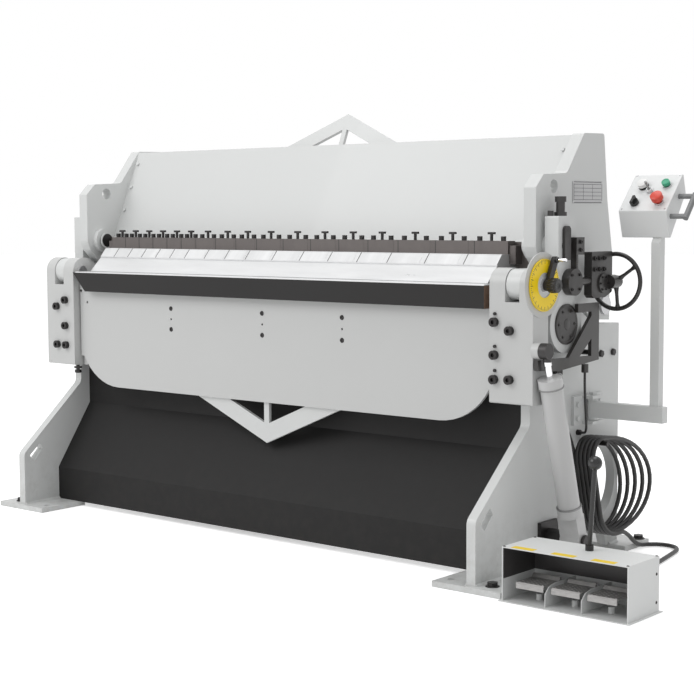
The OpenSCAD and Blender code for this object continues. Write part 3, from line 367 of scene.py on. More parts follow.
light_paint = paint("light_paint", LIGHT_GREY)
pale_paint = paint("pale_paint", (0.60, 0.61, 0.605), dirt=0.0)
# A darker copy of the grey paint, for the beams, tank and cylinders that stand in shade under and behind
# the rest: painted shade.
painted_shade_grey = paint("painted_shade_grey", (0.53, 0.53, 0.53))
# The apron's grey is a darker copy of the grey paint, for its upright front that gets less of the top
# light: painted shade.
painted_shade_apron = paint("painted_shade_apron", (0.53, 0.535, 0.53), dirt=0.0)
# Near-black for the front panel: the plate under the bed is real, and its near-black is painted shade of
# the deep hollow under the machine.
black_paint = paint("black_paint", (0.016, 0.0155, 0.0155), rough=0.62, drift=0.2, dirt=0.04,
                    coat_weight=0.0, gloss=0.22)
black_enamel = paint("black_enamel", (0.026, 0.024, 0.023), rough=0.36, drift=0.3, dirt=0.0, peel=0.9)
bright_steel = ground_steel("bright_steel", (0.79, 0.795, 0.80), (0.71, 0.715, 0.72), 0.32,
                            (0.8, 5, 5), 6.0, 0.7)
finger_steel = ground_steel("finger_steel", (0.79, 0.795, 0.80), (0.67, 0.675, 0.68), 0.32,
                            (5, 1, 1), 6.0, 0.65, SEAM_WIDTH)
pin_steel = ground_steel("pin_steel", (0.62, 0.62, 0.63), (0.42, 0.42, 0.43), 0.33, (3, 30, 30), 60.0)
chrome = ground_steel("chrome", (0.85, 0.85, 0.86), (0.74, 0.74, 0.75), 0.10, (1, 1, 12), 30.0)
brown_steel = ground_steel("brown_steel", (0.145, 0.130, 0.125), (0.105, 0.093, 0.090), 0.5,
                           (8, 3, 3), 12.0, 0.5)
block_steel = ground_steel("block_steel", (0.150, 0.134, 0.129), (0.120, 0.107, 0.103), 0.5,
                           (5, 3, 3), 9.0, 0.45, SEAM_WIDTH)
black_oxide = ground_steel("black_oxide", (0.055, 0.052, 0.052), (0.022, 0.021, 0.021), 0.38,
                           (6, 6, 6), 40.0, 0.7)
cast_grey = ground_steel("cast_grey", (0.33, 0.33, 0.33), (0.22, 0.22, 0.22), 0.5,
                         (9, 9, 9), 30.0, 0.6)
tread_steel = ground_steel("tread_steel", (0.44, 0.43, 0.42), (0.30, 0.295, 0.29), 0.42,
                           (4, 9, 9), 16.0, 0.6)
black_plastic = plastic("black_plastic", (0.014, 0.014, 0.014), 0.22)
red_plastic = plastic("red_plastic", (0.62, 0.055, 0.03), 0.32)
green_plastic = plastic("green_plastic", (0.035, 0.34, 0.19), 0.3)
white_plastic = plastic("white_plastic", (0.74, 0.74, 0.73), 0.36)
mark_yellow = plastic("mark_yellow", (0.84, 0.60, 0.02), 0.5, 0.1)
sight_glass = plastic("sight_glass", (0.30, 0.20, 0.05), 0.12)


def make_cable_sheath():
    material, b, shader, place = start_material("cable_sheath")
    coat = b.group(MOTTLE, Vector=place, Colour=(0.020, 0.019, 0.019, 1), Drift=0.5, Size=40.0,
                   Rough=0.48)
    lay_coat(b, shader, coat)
    add_bump(b, shader, b.noise(place, 700.0, 2.0), 0.15, 0.0004)
    return material


def make_rod_finish():
    """The bend cylinder's rod: chrome below, its blackened eye above."""
    material, b, shader, place = start_material("rod_finish")
    eye_foot = 0.664
    eye = b.above(b.axes(place)[2], eye_foot)
    colour = b.mix(eye, (0.82, 0.82, 0.83, 1), (0.05, 0.048, 0.048, 1))
    rough = b.span(eye, 0.0, 1.0, 0.12, 0.42)
    lay_coat(b, shader, b.group(MOTTLE, Vector=place, Colour=colour, Drift=0.15, Rough=rough))
    b.join(b.span(eye, 0.0, 1.0, 1.0, 0.6), shader.inputs["Metallic"])
    return material


def make_pin_finish():
    """The leaf's pins: blackened pin ends inside painted rings."""
    material, b, shader, place = start_material("pin_finish")
    pin_radius = 0.0256
    reach = b.around(place, LEAF_PIN)[2]
    ring = b.above(reach, pin_radius)
    colour = b.mix(ring, (0.045, 0.043, 0.043, 1), (*LIGHT_GREY, 1))
    lay_coat(b, shader, b.group(MOTTLE, Vector=place, Colour=colour, Drift=0.08))
    b.join(b.span(ring, 0.0, 1.0, 0.7, 0.0), shader.inputs["Metallic"])
    return material


def make_box_paint():
    """The control box: pale paint, and the grey guard handle on its right."""
    material, b, shader, place = start_material("box_paint")
    box_side = 1.3446
    handle = b.above(b.axes(place)[0], box_side)
    colour = b.mix(handle, (0.70, 0.71, 0.71, 1), (*HANDLE_GREY, 1))
    lay_coat(b, shader, b.group(MOTTLE, Vector=place, Colour=colour, Drift=0.05, Rough=0.4))
    add_peel(b, shader, place, 0.08, 0.0005)
    return material


def make_bar_paint():
    """The apron's stiffening bar: black on its long faces, sawn brown steel on its right end."""
    material, b, shader, place = start_material("bar_paint")
    right_end = 0.9399
    sawn = b.mix(b.noise(place, 120.0, 5.0), (0.10, 0.06, 0.04, 1), (0.22, 0.14, 0.10, 1))
    colour = b.mix(b.above(b.axes(place)[0], right_end), (0.016, 0.015, 0.015, 1), sawn)
    shader.inputs["Specular IOR Level"].default_value = 0.3
    lay_coat(b, shader, b.group(MOTTLE, Vector=place, Colour=colour, Drift=0.25, Rough=0.55))
    add_peel(b, shader, place, 0.1, 0.0005)
    return material


def make_dial_face():
    """Yellow ring with black tick marks, on a pale web."""
    material, b, shader, place = start_material("dial_face")
    web_radius, tick_outer = 0.0372, 0.0765
    across, rise, reach = b.around(place, FOLD_AXIS)
    turn = b.maths("ARCTAN2", rise, across)

    def ticks(count, inner, width):
        phase = b.maths("FRACT", b.maths("ADD", b.maths("MULTIPLY", turn, count / math.tau), 10.5))
        near = b.maths("LESS_THAN", b.maths("ABSOLUTE", b.maths("SUBTRACT", phase, 0.5)), width)
        return b.maths("MULTIPLY", near, b.above(reach, inner))

    marks = b.maths("MAXIMUM", ticks(72, 0.0705, 0.13), ticks(24, 0.064, 0.06))
    marks = b.maths("MULTIPLY", marks, b.maths("LESS_THAN", reach, tick_outer))
    colour = b.mix(b.above(reach, web_radius), (0.66, 0.67, 0.67, 1), (0.95, 0.68, 0.01, 1))
    colour = b.mix(marks, colour, (0.03, 0.03, 0.03, 1))
    coat = b.group(MOTTLE, Vector=place, Colour=colour, Drift=0.08, Size=18.0, Rough=0.35)
    lay_coat(b, shader, coat)
    return material


def make_data_plate():
    """Etched aluminium with empty ruled fields."""
    material, b, shader, place = start_material("data_plate")
    axes = b.axes(place)

    def rule(axis, start, pitch, width):
        """Lines at every pitch along an axis, whose width is a share of the pitch."""
        steps = b.maths("MULTIPLY", b.maths("SUBTRACT", axes[axis], start - pitch * 20), 1 / pitch)
        return b.maths("LESS_THAN", b.maths("FRACT", steps), width)

    def within(low_y, high_y, low_z, high_z):
        return b.maths("MULTIPLY", b.between(axes[1], low_y, high_y), b.between(axes[2], low_z, high_z))

    rows = rule(axis=2, start=1.1420, pitch=0.0120, width=0.12)
    columns = rule(axis=1, start=0.0660, pitch=0.0550, width=0.035)
    table = b.maths("MULTIPLY", b.maths("MAXIMUM", rows, columns), within(0.0655, 0.2300, 1.1415, 1.1920))
    border = b.maths("SUBTRACT", within(0.0590, 0.2350, 1.1330, 1.1990),
                     within(0.0612, 0.2328, 1.1352, 1.1968))
    colour = b.mix(b.maths("MAXIMUM", table, border), (0.46, 0.46, 0.465, 1), (0.06, 0.06, 0.065, 1))
    coat = b.group(MOTTLE, Vector=place, Colour=colour, Drift=0.12, Size=30.0, Rough=0.4)
    lay_coat(b, shader, coat)
    shader.inputs["Metallic"].default_value = 0.5
    return material


def make_pedal_box_paint():
    """Pale outside, black inside the bays."""
    material, b, shader, place = start_material("pedal_box_paint")
    bay_limits = ((1.1630, 1.5670), (-0.4865, -0.3225), (0.0650, 0.1555))
    wide, deep, high = (b.between(axis, *limits) for axis, limits in zip(b.axes(place), bay_limits))
    inner = b.maths("MULTIPLY", b.maths("MULTIPLY", wide, high), deep)
    colour = b.mix(inner, (0.70, 0.71, 0.705, 1), (0.055, 0.052, 0.052, 1))
    lay_coat(b, shader, b.group(MOTTLE, Vector=place, Colour=colour, Drift=0.07, Rough=0.42))
    add_peel(b, shader, place, 0.08, 0.0005)
    return material


cable_sheath = make_cable_sheath()
box_paint = make_box_paint()
rod_finish = make_rod_finish()
pin_finish = make_pin_finish()
bar_paint = make_bar_paint()
dial_face = make_dial_face()
data_plate = make_data_plate()
pedal_box_paint = make_pedal_box_paint()

NODE_FINISH = {
    painted_shade_grey: ("bed_beam", "rear_beam", "oil_tank", "clamp_cylinder", "bend_cylinder"),
    pale_paint: ("front_sheet",),
    light_paint: ("end_frame_left", "end_frame_right", "upper_frame_left", "upper_frame_right",
                  "top_truss", "link_left", "link_right", "pendant_bracket", "pendant_arm",
                  "apron_truss"),
    painted_shade_apron: ("apron_plate", "apron_bracket_left", "apron_bracket_right"),
    pedal_box_paint: ("pedal_box",),
    box_paint: ("control_box",),
    bar_paint: ("apron_bar",),
    dial_face: ("angle_dial",),
    black_paint: ("front_panel",),
    black_enamel: ("switch_frame", "adjuster_drive", "gearbox", "pump_motor", "link_fittings_left",
                   "link_fittings_right", "handwheel"),
    black_oxide: ("frame_fasteners", "finger_screws", "bracket_screws", "stop_lever"),
    pin_finish: ("link_pins",),
    bright_steel: ("nose_bar", "bed_rail", "folding_rail"),
    finger_steel: ("fingers",),
    pin_steel: ("pivot_pins", "cross_shaft", "clamp_rod", "valve_block"),
    cast_grey: ("toggle_switch",),
    rod_finish: ("bend_rod",),
    brown_steel: ("clamp_beam",),
    block_steel: ("clamp_blocks",),
    tread_steel: ("pedal_left", "pedal_middle", "pedal_right"),
    black_plastic: ("carry_handle", "selector_switch"),
    red_plastic: ("emergency_stop",),
    green_plastic: ("green_button",),
    white_plastic: ("white_button",),
}
for finish, names in NODE_FINISH.items():
    for name in names:
        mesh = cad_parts[name].data
        mesh.materials.clear()
        mesh.materials.append(finish)


# Making pieces

SAME_PLACE = 1e-6   # metres, under which two corners are one
SMOOTH_ANGLE = 30   # degrees, over which an edge stays sharp


def finished(name, bm, body, material):
    """Turn a drawn mesh into a piece that rides on its body."""
    bmesh.ops.remove_doubles(bm, verts=bm.verts, dist=SAME_PLACE)
    bmesh.ops.recalc_face_normals(bm, faces=bm.faces)
    mesh = bpy.data.meshes.new(name)
    bm.to_mesh(mesh)
    bm.free()
    mesh.materials.append(material)
    piece = bpy.data.objects.new(name, mesh)
    bpy.context.scene.collection.objects.link(piece)
    mesh.shade_smooth()
    mesh.set_sharp_from_angle(angle=math.radians(SMOOTH_ANGLE))
    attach(piece, body)


def add_block(bm, low, high, edge):
    """A block with its edges broken, between two corners in millimetres."""
    low, high = mm(*low), mm(*high)
    verts = bmesh.ops.create_cube(bm, size=1.0)["verts"]
    bmesh.ops.scale(bm, vec=high - low, verts=verts)
    bmesh.ops.translate(bm, vec=(low + high) / 2, verts=verts)
    edges = list({line for vert in verts for line in vert.link_edges})
    bmesh.ops.bevel(bm, geom=edges, offset=edge * 0.001, offset_type="OFFSET", affect="EDGES",
                    segments=1, profile=0.5, material=-1)


def add_turned(bm, profile, at, axis, steps=28):
    """A turned shape: profile is (radius, distance along the axis) in millimetres, from at."""
    axis, at = Vector(axis).normalized(), mm(*at)
    side = axis.orthogonal().normalized()
    verts = [bm.verts.new(at + axis * along * 0.001 + side * radius * 0.001) for radius, along in profile]
    edges = [bm.edges.new(pair) for pair in zip(verts, verts[1:])]
    bmesh.ops.spin(bm, geom=verts + edges, cent=at, axis=axis, angle=math.tau, steps=steps,
                   use_merge=True, dvec=(0, 0, 0))
    bmesh.ops.remove_doubles(bm, verts=bm.verts, dist=SAME_PLACE)


def add_socket_screw(bm, at, axis, radius, height):
    """A cap screw's head with its socket."""
    socket, floor = radius * 0.5, height * 0.45
    profile = [(0, floor), (socket, floor), (socket, height), (radius * 0.92, height),
               (radius, height * 0.88), (radius, 0)]
    add_turned(bm, profile, at, axis, 18)


def add_hexagon(bm, at, axis, radius, height):
    """A hexagon head with a chamfered top."""
    profile = [(0, height), (radius * 0.8, height), (radius, height * 0.82), (radius, 0), (0, 0)]
    add_turned(bm, profile, at, axis, 6)


def add_fillet(bm, start, end, out, up, size=7.0):
    """A weld bead of triangular section along a corner."""
    start, end, out, up = mm(*start), mm(*end), Vector(out), Vector(up)
    step = size * 0.001
    section = (Vector(), out * step, (out + up) * step * 0.62, up * step)
    face = bm.faces.new([bm.verts.new(start + shift) for shift in section])
    grown = bmesh.ops.extrude_face_region(bm, geom=[face])
    moved = [item for item in grown["geom"] if isinstance(item, bmesh.types.BMVert)]
    bmesh.ops.translate(bm, vec=end - start, verts=moved)


def on_circle(centre, radius, count, first=0.0):
    """Pairs of coordinates, evenly spaced on a circle."""
    for k in range(count):
        angle = math.tau * (k + first) / count
        yield centre[0] + radius * math.cos(angle), centre[1] + radius * math.sin(angle)


def on_panel(across, up, height=0.0):
    """A place on the sloping control panel, or at a height over it."""
    return (PANEL_EDGE[0] + across, PANEL_EDGE[1] + up * PANEL_UP[0] - height * PANEL_UP[1],
            PANEL_EDGE[2] + up * PANEL_UP[1] + height * PANEL_UP[0])


# Cables

RISER = [
    (1072, -66, 600), (1072, -66, 560), (1070, -60, 530), (1067, -45, 500), (1064, -25, 470),
    (1061, 0, 440), (1059, 25, 412), (1058, 45, 380), (1058, 62, 345), (1058, 72, 305),
    (1058.5, 76.5, 270), (1058.5, 77.5, 237.3)]
PEDAL_LEAD = [
    (1136.2, 190.3, 80), (1136, 215, 80), (1134, 245, 76), (1129, 285, 58), (1125, 330, 29),
    (1124, 372, 12), (1132.3, 403, 8.5), (1155, 425.7, 8), (1186, 434, 8), (1217, 426, 8),
    (1240, 403, 8), (1253, 368, 8), (1270, 285, 8), (1286, 195, 8), (1296, 100, 8),
    (1300, 0, 8), (1300, -120, 8), (1300, -215, 9), (1300, -275, 20), (1300, -316.7, 24)]
SENSOR_LEAD = [
    (1126, 10, 612), (1126, 10, 580), (1124.5, 14, 546), (1121.5, 22, 511), (1116.5, 34, 477),
    (1109, 49, 446), (1099, 64, 425), (1086, 77, 414), (1062, 92, 410)]
COIL_TURNS, COIL_PITCH, COIL_X, COIL_Z = 5.25, 14.8, 1058.5, 237
COIL_BEND, COIL_HALF_HEIGHT = 75, 157
COIL_BELLY, COIL_BELLY_GROWTH = 170, 120      # the back's bulge at the first turn, and its growth
COIL_MIDDLE_Y, COIL_LEAN = 152.5, 37.5
COIL_STEPS = 40                               # points in one turn


def smooth_route(route, steps=5):
    """Points on a smooth curve through all places of a route."""
    points = []
    last = len(route) - 1
    for index in range(last):
        near = (max(index - 1, 0), index, index + 1, min(index + 2, last))
        a, b, c, d = (Vector(route[k]) for k in near)
        for step in range(steps):
            t = step / steps
            bend = (2 * a - 5 * b + 4 * c - d) * t * t
            change = (3 * b - a - 3 * c + d) * t ** 3
            points.append(0.5 * (2 * b + (c - a) * t + bend + change))
    return points + [Vector(route[last])]


def coil_point(turn):
    """A place on the coil, whose front hangs straight between two round bends and whose back bulges."""
    angle = math.radians(180 + 360 * turn)
    rise = COIL_HALF_HEIGHT * math.sin(angle)
    past_bend = max(abs(rise) - (COIL_HALF_HEIGHT - COIL_BEND), 0)
    if math.cos(angle) > 0:
        reach = (COIL_BELLY + COIL_BELLY_GROWTH * turn / COIL_TURNS) * math.cos(angle)
    else:
        reach = -math.sqrt(max(COIL_BEND ** 2 - past_bend ** 2, 0))
    middle = COIL_MIDDLE_Y - COIL_LEAN * math.sin(angle)
    return Vector((COIL_X + COIL_PITCH * turn, middle + reach, COIL_Z + rise))


def make_cable(name, points, diameter, body, nodes):
    """A round cable along its points, in place of the frame's own cable nodes."""
    curve = bpy.data.curves.new(name, "CURVE")
    curve.dimensions = "3D"
    curve.bevel_depth = diameter / 2
    curve.bevel_resolution = 3
    curve.use_fill_caps = True
    spline = curve.splines.new("POLY")
    spline.points.add(len(points) - 1)
    for place, point in zip(spline.points, points):
        place.co = (*(point * 0.001), 1)
    curve.materials.append(cable_sheath)
    cable = bpy.data.objects.new(name, curve)
    bpy.context.scene.collection.objects.link(cable)
    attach(cable, body)
    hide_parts(*nodes)


coil_points = [coil_point(k / COIL_STEPS) for k in range(1, int(COIL_TURNS * COIL_STEPS))]
control_cable = smooth_route(RISER) + coil_points + smooth_route(PEDAL_LEAD)
make_cable("pedal_lead", control_cable, 0.014, "frame",
           ("cable_riser", "cable_coil", "pedal_cable"))
make_cable("sensor_lead", smooth_route(SENSOR_LEAD), 0.008, "frame", ("sensor_cable",))


# Trim on the frame

def make_welds():
    """Weld beads between the end frames and their foot plates."""
    bm = bmesh.new()
    for side in (-1, 1):
        for x, out in ((side * END_FRAME_OUT, (side, 0, 0)), (side * END_FRAME_IN, (-side, 0, 0))):
            for front, back in ((-462, -272), (291, 344)):
                add_fillet(bm, (x, front, FOOT_TOP), (x, back, FOOT_TOP), out, (0, 0, 1))
    finished("foot_welds", bm, "frame", light_paint)


def make_motor_fins():
    """Cooling ribs round the motor, and its fan cover's rings."""
    bm = bmesh.new()
    rib = [(74, 0), (81, 0.6), (82, 2.2), (81, 3.8), (74, 4.4), (74, 0)]
    for k in range(15):
        add_turned(bm, rib, (-404 + k * 14, *MOTOR_AXIS), (1, 0, 0), 40)
    for radius in (20, 36, 52):
        ring = [(radius, 0), (radius + 5, 0), (radius + 5, 3), (radius, 3), (radius, 0)]
        add_turned(bm, ring, (-463, *MOTOR_AXIS), (1, 0, 0), 32)
    finished("motor_fins", bm, "frame", black_enamel)


def make_tank_trim():
    """Bolts of the tank's lid, screws of its filler neck, its sight glass and plug."""
    bm = bmesh.new()
    for x in (-490, -330, -160, 20, 140):
        for y in (-58, 248):
            add_hexagon(bm, (x, y, 430), (0, 0, 1), 7, 5)
    for x, y in on_circle((-460, 200), 21, 8):
        add_socket_screw(bm, (x, y, 470), (0, 0, 1), 3, 2.4)
    finished("tank_bolts", bm, "frame", black_oxide)
    bm = bmesh.new()
    add_turned(bm, [(0, 0), (17, 0), (19, 3), (19, 7), (15, 9), (0, 9)], (60, 250, 300), (0, 1, 0), 26)
    add_turned(bm, [(0, 0), (12, 0), (14, 3), (14, 12), (10, 15), (0, 15)], (60, 250, 200), (0, 1, 0), 6)
    finished("tank_sight_glass", bm, "frame", sight_glass)


def make_frame_hardware():
    """Washers of the levelling bolts and the bolts that hold the beams to the end frames."""
    bm = bmesh.new()
    washer = [(10.4, 0), (21, 0), (21, 2.2), (20, 3), (10.4, 3), (10.4, 0)]
    for side in (-1, 1):
        for y in (-426, 426):
            add_turned(bm, washer, (side * 1085.1, y, FOOT_TOP), (0, 0, 1), 26)
        for y, z in ((230, 650), (305, 650), (20, 110), (90, 110)):
            add_hexagon(bm, (side * END_FRAME_OUT, y, z), (side, 0, 0), 12, 9)
    finished("frame_bolt_heads", bm, "frame", black_oxide)


def make_cylinder_fittings():
    """Hexagon fittings and lock rings of the bend cylinder, in its leaning line."""
    bm = bmesh.new()
    lean = math.radians(CYLINDER_LEAN)
    along = Vector((0, -math.sin(lean), math.cos(lean)))
    back = Vector((0, math.cos(lean), math.sin(lean)))

    def on_tube(distance, out=0.0):
        return Vector(CYLINDER_FOOT) + along * distance + back * out

    for distance, out in ((516, 46), (100, 42)):
        add_hexagon(bm, on_tube(distance, out - 10), back, 14, 16)
    for distance in (114, 501):
        add_turned(bm, [(33, -3), (39, -2), (39, 2), (33, 3)], on_tube(distance), along, 36)
    finished("cylinder_fittings", bm, "bend_cylinder", cast_grey)


make_welds()
make_motor_fins()
make_tank_trim()
make_frame_hardware()
make_cylinder_fittings()


# Trim on the leaf, links and adjuster

def make_data_plate_piece():
    """The bare data plate and its four rivets."""
    bm = bmesh.new()
    face = UPPER_PLATE_OUT + 1.2
    add_block(bm, (UPPER_PLATE_OUT, 57, 1131), (face, 237, 1201), 0.4)
    finished("data_plate", bm, "top_leaf", data_plate)
    bm = bmesh.new()
    for y in (62, 232):
        for z in (1136, 1196):
            add_turned(bm, [(0, 2.4), (1.6, 2.2), (3.0, 1.2), (3.2, 0)], (face, y, z), (1, 0, 0), 14)
    finished("plate_rivets", bm, "top_leaf", pin_steel)


def make_gearbox_screws():
    """Cap screws on the outer faces of the adjuster drive and its gearbox."""
    bm = bmesh.new()
    for y in (44, 72, 100):
        for z in (962, 928):
            add_socket_screw(bm, (GEARBOX_OUT, y, z), (1, 0, 0), 7, 6)
    for y, z in on_circle((95, 884), 22, 6):
        add_socket_screw(bm, (GEARBOX_OUT + 5, y, z), (1, 0, 0), 3.6, 3)
    for y, z in on_circle((-62, 893), 31, 4, first=0.5):
        add_socket_screw(bm, (LINK_OUT + 26, y, z), (1, 0, 0), 4.6, 4)
    for z in (990, 1014):
        add_socket_screw(bm, (LINK_OUT + 20, -27, z), (1, 0, 0), 6, 5)
    finished("adjuster_screws", bm, "right_link", black_oxide)


def make_cover_rims():
    """Rolled rims and fixing screws of the round covers on the link rings."""
    for side, body in ((-1, "left_link"), (1, "right_link")):
        bm = bmesh.new()
        cover_out = side * (LINK_OUT + 4)
        at = (cover_out, *LINK_RING)
        add_turned(bm, [(52, 0), (54, 1.6), (58, 1.9), (60.5, 1.0), (61.2, 0)], at, (side, 0, 0), 48)
        add_turned(bm, [(0, 2.4), (12, 2.1), (16, 1.2), (17, 0)], at, (side, 0, 0), 32)
        for y, z in on_circle(LINK_RING, 44, 6):
            add_socket_screw(bm, (cover_out, y, z), (side, 0, 0), 4.4, 2.4)
        finished("ring_cover_rim_" + body, bm, body, black_enamel)


def make_wheel_trim():
    """Both faces of the handwheel's hub, and the thick ends of its spokes."""
    bm = bmesh.new()
    add_turned(bm, [(0, -16), (9, -16), (13, -13), (18.9, -8)], HANDWHEEL, (0, 1, 0), 30)
    add_turned(bm, [(18.9, 10), (15, 17), (13, 19), (8, 20), (0, 20)], HANDWHEEL, (0, 1, 0), 30)
    for angle in (35, 155, 275):
        way = Vector((math.cos(math.radians(angle)), 0, math.sin(math.radians(angle))))
        add_turned(bm, [(5.5, 16), (9, 15), (8, 22), (6.2, 32), (5.5, 40)], HANDWHEEL, way, 16)
        add_turned(bm, [(5.5, 68), (6.6, 74), (9, 82), (5.5, 84)], HANDWHEEL, way, 16)
    finished("wheel_hub_trim", bm, "handwheel", black_enamel)


def make_sheet_trim():
    """Bead along the foot of the leaning front sheet, and the bolts near its ends."""
    bm = bmesh.new()
    add_fillet(bm, (-1000, -15.2, 1012), (1000, -15.2, 1012), (0, -1, 0), (0, 0, 1), 5.0)
    sunk = 2
    for side in (-1, 1):
        for z in (1120, 1210, 1300):
            y = SHEET_FOOT[0] + (z - SHEET_FOOT[1]) * SHEET_SLOPE - sunk
            add_hexagon(bm, (side * 984, y, z), SHEET_OUT, 7, 5)
    finished("sheet_bead", bm, "top_leaf", pale_paint)


make_data_plate_piece()
make_gearbox_screws()
make_cover_rims()
make_wheel_trim()


# Trim on the apron, dial and stop

def make_apron_trim():
    """Plugs, bushes and screws on the apron's front, and the stop bolt under its left bracket."""
    plug = [(0, 1.0), (3.6, 1.0), (4.2, 2.6), (7.4, 2.2), (8.6, 0)]
    bush = [(3.8, -4), (3.8, -0.5), (4.3, 0.2), (7.6, 0.2), (7.9, 0)]
    bm = bmesh.new()
    for x in APRON_COLUMNS:
        for z in (764, 689):
            add_turned(bm, plug, (x, APRON_FRONT, z), (0, -1, 0), 20)
    for x, z in ((946, 761), (946, 691), (-946, 815), (946, 815)):
        add_turned(bm, [(0, 3.4), (3, 3.1), (4.6, 1.6), (5, 0)], (x, APRON_FRONT, z), (0, -1, 0), 16)
    finished("apron_buttons", bm, "apron", black_oxide)
    bm = bmesh.new()
    for x in APRON_COLUMNS:
        add_turned(bm, bush, (x, APRON_FRONT, 726), (0, -1, 0), 20)
    finished("apron_bushes", bm, "apron", painted_shade_apron)
    shank, nut = 6, 15
    bolt = [(shank, -2), (shank, 7), (nut, 7), (nut, 14), (shank, 14), (shank, 20), (12, 20), (13, 22),
            (13, 30), (11, 32), (0, 32)]
    bm = bmesh.new()
    add_turned(bm, bolt, (-970, -235, 532), (0, 0, -1), 6)
    finished("bracket_stop_bolt", bm, "apron", black_oxide)


def on_stop_tip(x):
    """A place on the middle line of the stop lever's tip pin."""
    reach, angle = STOP_TIP[0], math.radians(STOP_TIP[1])
    return (x, FOLD_AXIS[0] + reach * math.cos(angle), FOLD_AXIS[1] + reach * math.sin(angle))


def make_stop_trim():
    """Knurled rim and cap of the stop's clamping knob, and the tip pin's collar."""
    bm = bmesh.new()
    cap = [(0, 0), (7, 0), (9, 2), (14, 3), (19, 2.4), (21, 0)]
    add_turned(bm, cap, (1167.1, *FOLD_AXIS), (1, 0, 0), 24)
    add_turned(bm, [(4, 0), (9, 0), (9, 5), (8, 7), (4, 7)], on_stop_tip(1137.1), (1, 0, 0), 20)
    knurl = [(0, 0), (1.6, 0.8), (1.8, 3), (1.8, 20), (1.6, 22), (0, 23)]
    for y, z in on_circle(FOLD_AXIS, 20.6, 16):
        add_turned(bm, knurl, (1141, y, z), (1, 0, 0), 8)
    finished("stop_knob_trim", bm, "stop_lever", black_plastic)


def make_tip_pin():
    """The bright sleeve on the stop lever's tip pin."""
    bm = bmesh.new()
    sleeve = [(4.05, 0), (5.0, 0.4), (5.0, 26), (4.2, 27.4), (0, 27.6)]
    add_turned(bm, sleeve, on_stop_tip(1144.5), (1, 0, 0), 20)
    finished("stop_tip_sleeve", bm, "stop_lever", chrome)


make_apron_trim()
make_stop_trim()
make_tip_pin()


# Trim on the pendant and the pedal box

def make_panel_trim():
    """Corner screws of the panel, the seats of its buttons and the toggle's nut."""
    bm = bmesh.new()
    screw = [(0, 1.4), (2.4, 1.2), (3.4, 0.3), (3.6, 0)]
    for across in (8, 155):
        for up in (8, 147):
            add_turned(bm, screw, on_panel(across, up), PANEL_OUT, 14)
    bore = 9.6
    for button, outer in ((STOP_BUTTON, 16), (GREEN_BUTTON, 15)):
        seat = [(bore, 0), (outer, 0), (outer, 2.4), (outer - 1.2, 3.4), (bore, 3.4), (bore, 0)]
        add_turned(bm, seat, on_panel(*button), PANEL_OUT, 30)
    finished("panel_screws", bm, "pendant", pin_steel)
    bm = bmesh.new()
    seat = [(bore, 0), (16.5, 0), (16.5, 2.2), (15.6, 3), (bore, 3), (bore, 0)]
    add_turned(bm, seat, on_panel(*WHITE_BUTTON), PANEL_OUT, 30)
    finished("white_button_seat", bm, "pendant", black_plastic)
    bm = bmesh.new()
    nut = [(9.2, 0), (12, 0), (12, 4), (9.2, 4), (9.2, 0)]
    add_turned(bm, nut, on_panel(*TOGGLE), PANEL_OUT, 6)
    finished("toggle_nut", bm, "pendant", pin_steel)


def make_button_caps():
    """Faces of the three push buttons, and the flared collar under the emergency stop's dome."""
    bm = bmesh.new()
    dome = [(19, 0), (18.8, 1.6), (16, 3.6), (8, 5.0), (0, 5.3)]
    collar = [(9, 0), (12, 0.4), (14.5, 2.6), (18, 5.6)]
    add_turned(bm, dome, on_panel(*STOP_BUTTON, 28), PANEL_OUT, 36)
    add_turned(bm, collar, on_panel(*STOP_BUTTON, 9), PANEL_OUT, 36)
    finished("stop_button_dome", bm, "emergency_stop", red_plastic)
    bm = bmesh.new()
    dished = [(13, 0), (12.6, 1.4), (10, 2.2), (9.4, 1.4), (0, 1.1)]
    add_turned(bm, dished, on_panel(*GREEN_BUTTON, 16), PANEL_OUT, 30)
    finished("green_button_face", bm, "green_button", green_plastic)
    bm = bmesh.new()
    domed = [(16, 0), (15.6, 1.6), (12, 2.8), (6, 3.2), (0, 3.3)]
    add_turned(bm, domed, on_panel(*WHITE_BUTTON, 18), PANEL_OUT, 30)
    finished("white_button_face", bm, "white_button", white_plastic)


def make_pedal_treads():
    """Rows of studs on the three pedals."""
    stud = [(0, 1.8), (1.8, 1.5), (3.2, 0.6), (3.6, 0)]
    pitch, columns = 15, 6
    for name, centre in zip(("pedal_left", "pedal_middle", "pedal_right"), PEDAL_CENTRES):
        bm = bmesh.new()
        first = centre - pitch * (columns - 1) / 2
        for row in range(5):
            for column in range(columns):
                add_turned(bm, stud, (first + column * pitch, -460 + row * 14, 58), (0, 0, 1), 10)
        finished(name + "_studs", bm, name, tread_steel)


def make_pedal_marks():
    """The three yellow marks on top of the pedal box."""
    bm = bmesh.new()
    for low, high in ((1189, 1262), (1320, 1394), (1449, 1522)):
        add_block(bm, (low, -487, PEDAL_BOX_TOP), (high, -462, PEDAL_BOX_TOP + 0.5), 0.2)
    finished("pedal_marks", bm, "frame", mark_yellow)


def make_pedal_box_trim():
    """Screws of the pedal box, and the sleeves where the control cable leaves and arrives."""
    screw = [(0, 2.2), (2.4, 1.9), (4.2, 0.6), (4.6, 0)]
    bm = bmesh.new()
    for x in (1166, 1564):
        for y in (-484, -326):
            add_turned(bm, screw, (x, y, PEDAL_BOX_TOP), (0, 0, 1), 14)
    for z in (30, 110):
        add_turned(bm, screw, (1569, -335, z), (1, 0, 0), 14)
    sleeve = [(12, 0), (13, 1), (13, 10), (11, 12), (9, 14), (7.3, 22)]
    add_turned(bm, sleeve, (1300, -317, 24), (0, 1, 0), 24)
    finished("pedal_box_screws", bm, "frame", black_oxide)
    bm = bmesh.new()
    sleeve = [(7.3, -26), (9, -18), (12.5, -12), (13, -2), (13, 0), (7.3, 0)]
    add_turned(bm, sleeve, RISER[0], (0, 0, 1), 24)
    finished("cable_gland_sleeves", bm, "frame", black_plastic)


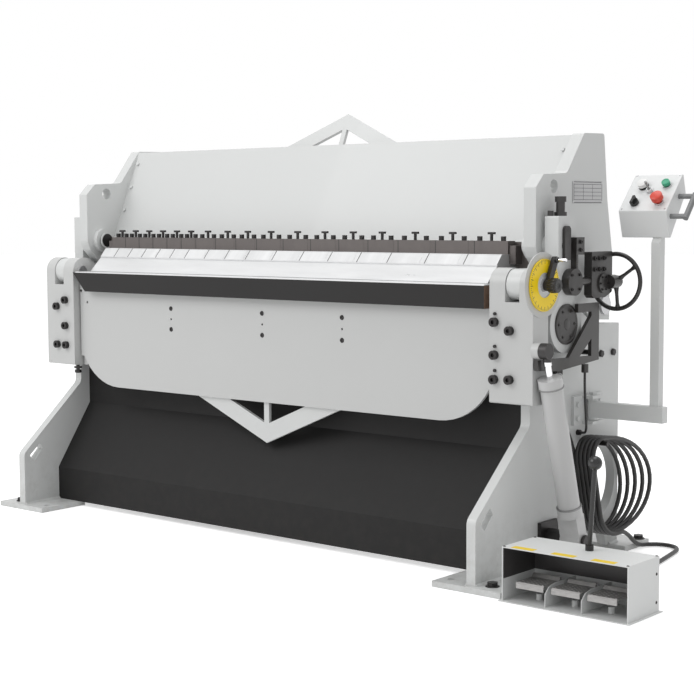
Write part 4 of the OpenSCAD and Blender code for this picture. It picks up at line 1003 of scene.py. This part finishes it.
make_sheet_trim()
make_panel_trim()
make_button_caps()
make_pedal_treads()
make_pedal_marks()
make_pedal_box_trim()


# Studio

def seen_directly(b):
    """1 for rays from the camera, a mirror or glass, and 0 for the light that falls on things."""
    path = b.add("ShaderNodeLightPath")
    seen = b.maths("MAXIMUM", path.outputs["Is Camera Ray"], path.outputs["Is Glossy Ray"])
    return b.maths("MAXIMUM", seen, path.outputs["Is Transmission Ray"])


def make_floor():
    bpy.ops.mesh.primitive_plane_add(size=60.0, location=(0, 0, -0.0005))
    floor = bpy.context.object
    floor.name = "floor"
    material = bpy.data.materials.new("studio_floor")
    material.use_nodes = True
    b = Shader(material.node_tree)
    shader = material.node_tree.nodes["Principled BSDF"]
    shader.inputs["Base Color"].default_value = (0.90, 0.90, 0.90, 1)
    shader.inputs["Roughness"].default_value = 0.9
    shader.inputs["Emission Color"].default_value = (1, 1, 1, 1)
    b.join(b.maths("MULTIPLY", seen_directly(b), 0.5), shader.inputs["Emission Strength"])
    floor.data.materials.append(material)


def make_surroundings():
    """White where it is seen, and dimmer where it lights the object."""
    world = bpy.data.worlds.new("studio")
    bpy.context.scene.world = world
    world.use_nodes = True
    b = Shader(world.node_tree)
    background = world.node_tree.nodes["Background"]
    background.inputs["Color"].default_value = (1, 1, 1, 1)
    b.join(b.span(seen_directly(b), 0.0, 1.0, 0.62, 1.0), background.inputs["Strength"])


def make_softbox(name, place, aim, size, power):
    data = bpy.data.lights.new(name, "AREA")
    data.shape = "RECTANGLE"
    data.size, data.size_y = size
    data.energy = power
    lamp = bpy.data.objects.new(name, data)
    lamp.location = place
    lamp.rotation_mode = "QUATERNION"
    lamp.rotation_quaternion = (Vector(aim) - Vector(place)).to_track_quat("-Z", "Y")
    bpy.context.scene.collection.objects.link(lamp)


make_floor()
make_surroundings()
make_softbox("front_softbox", (-2.2, -4.2, 4.2), (0, 0, 0.8), (4.0, 3.0), 120)
make_softbox("top_softbox", (0.6, 0.4, 5.0), (0, 0, 0.8), (4.5, 3.0), 90)
bpy.context.scene.view_settings.view_transform = "Standard"
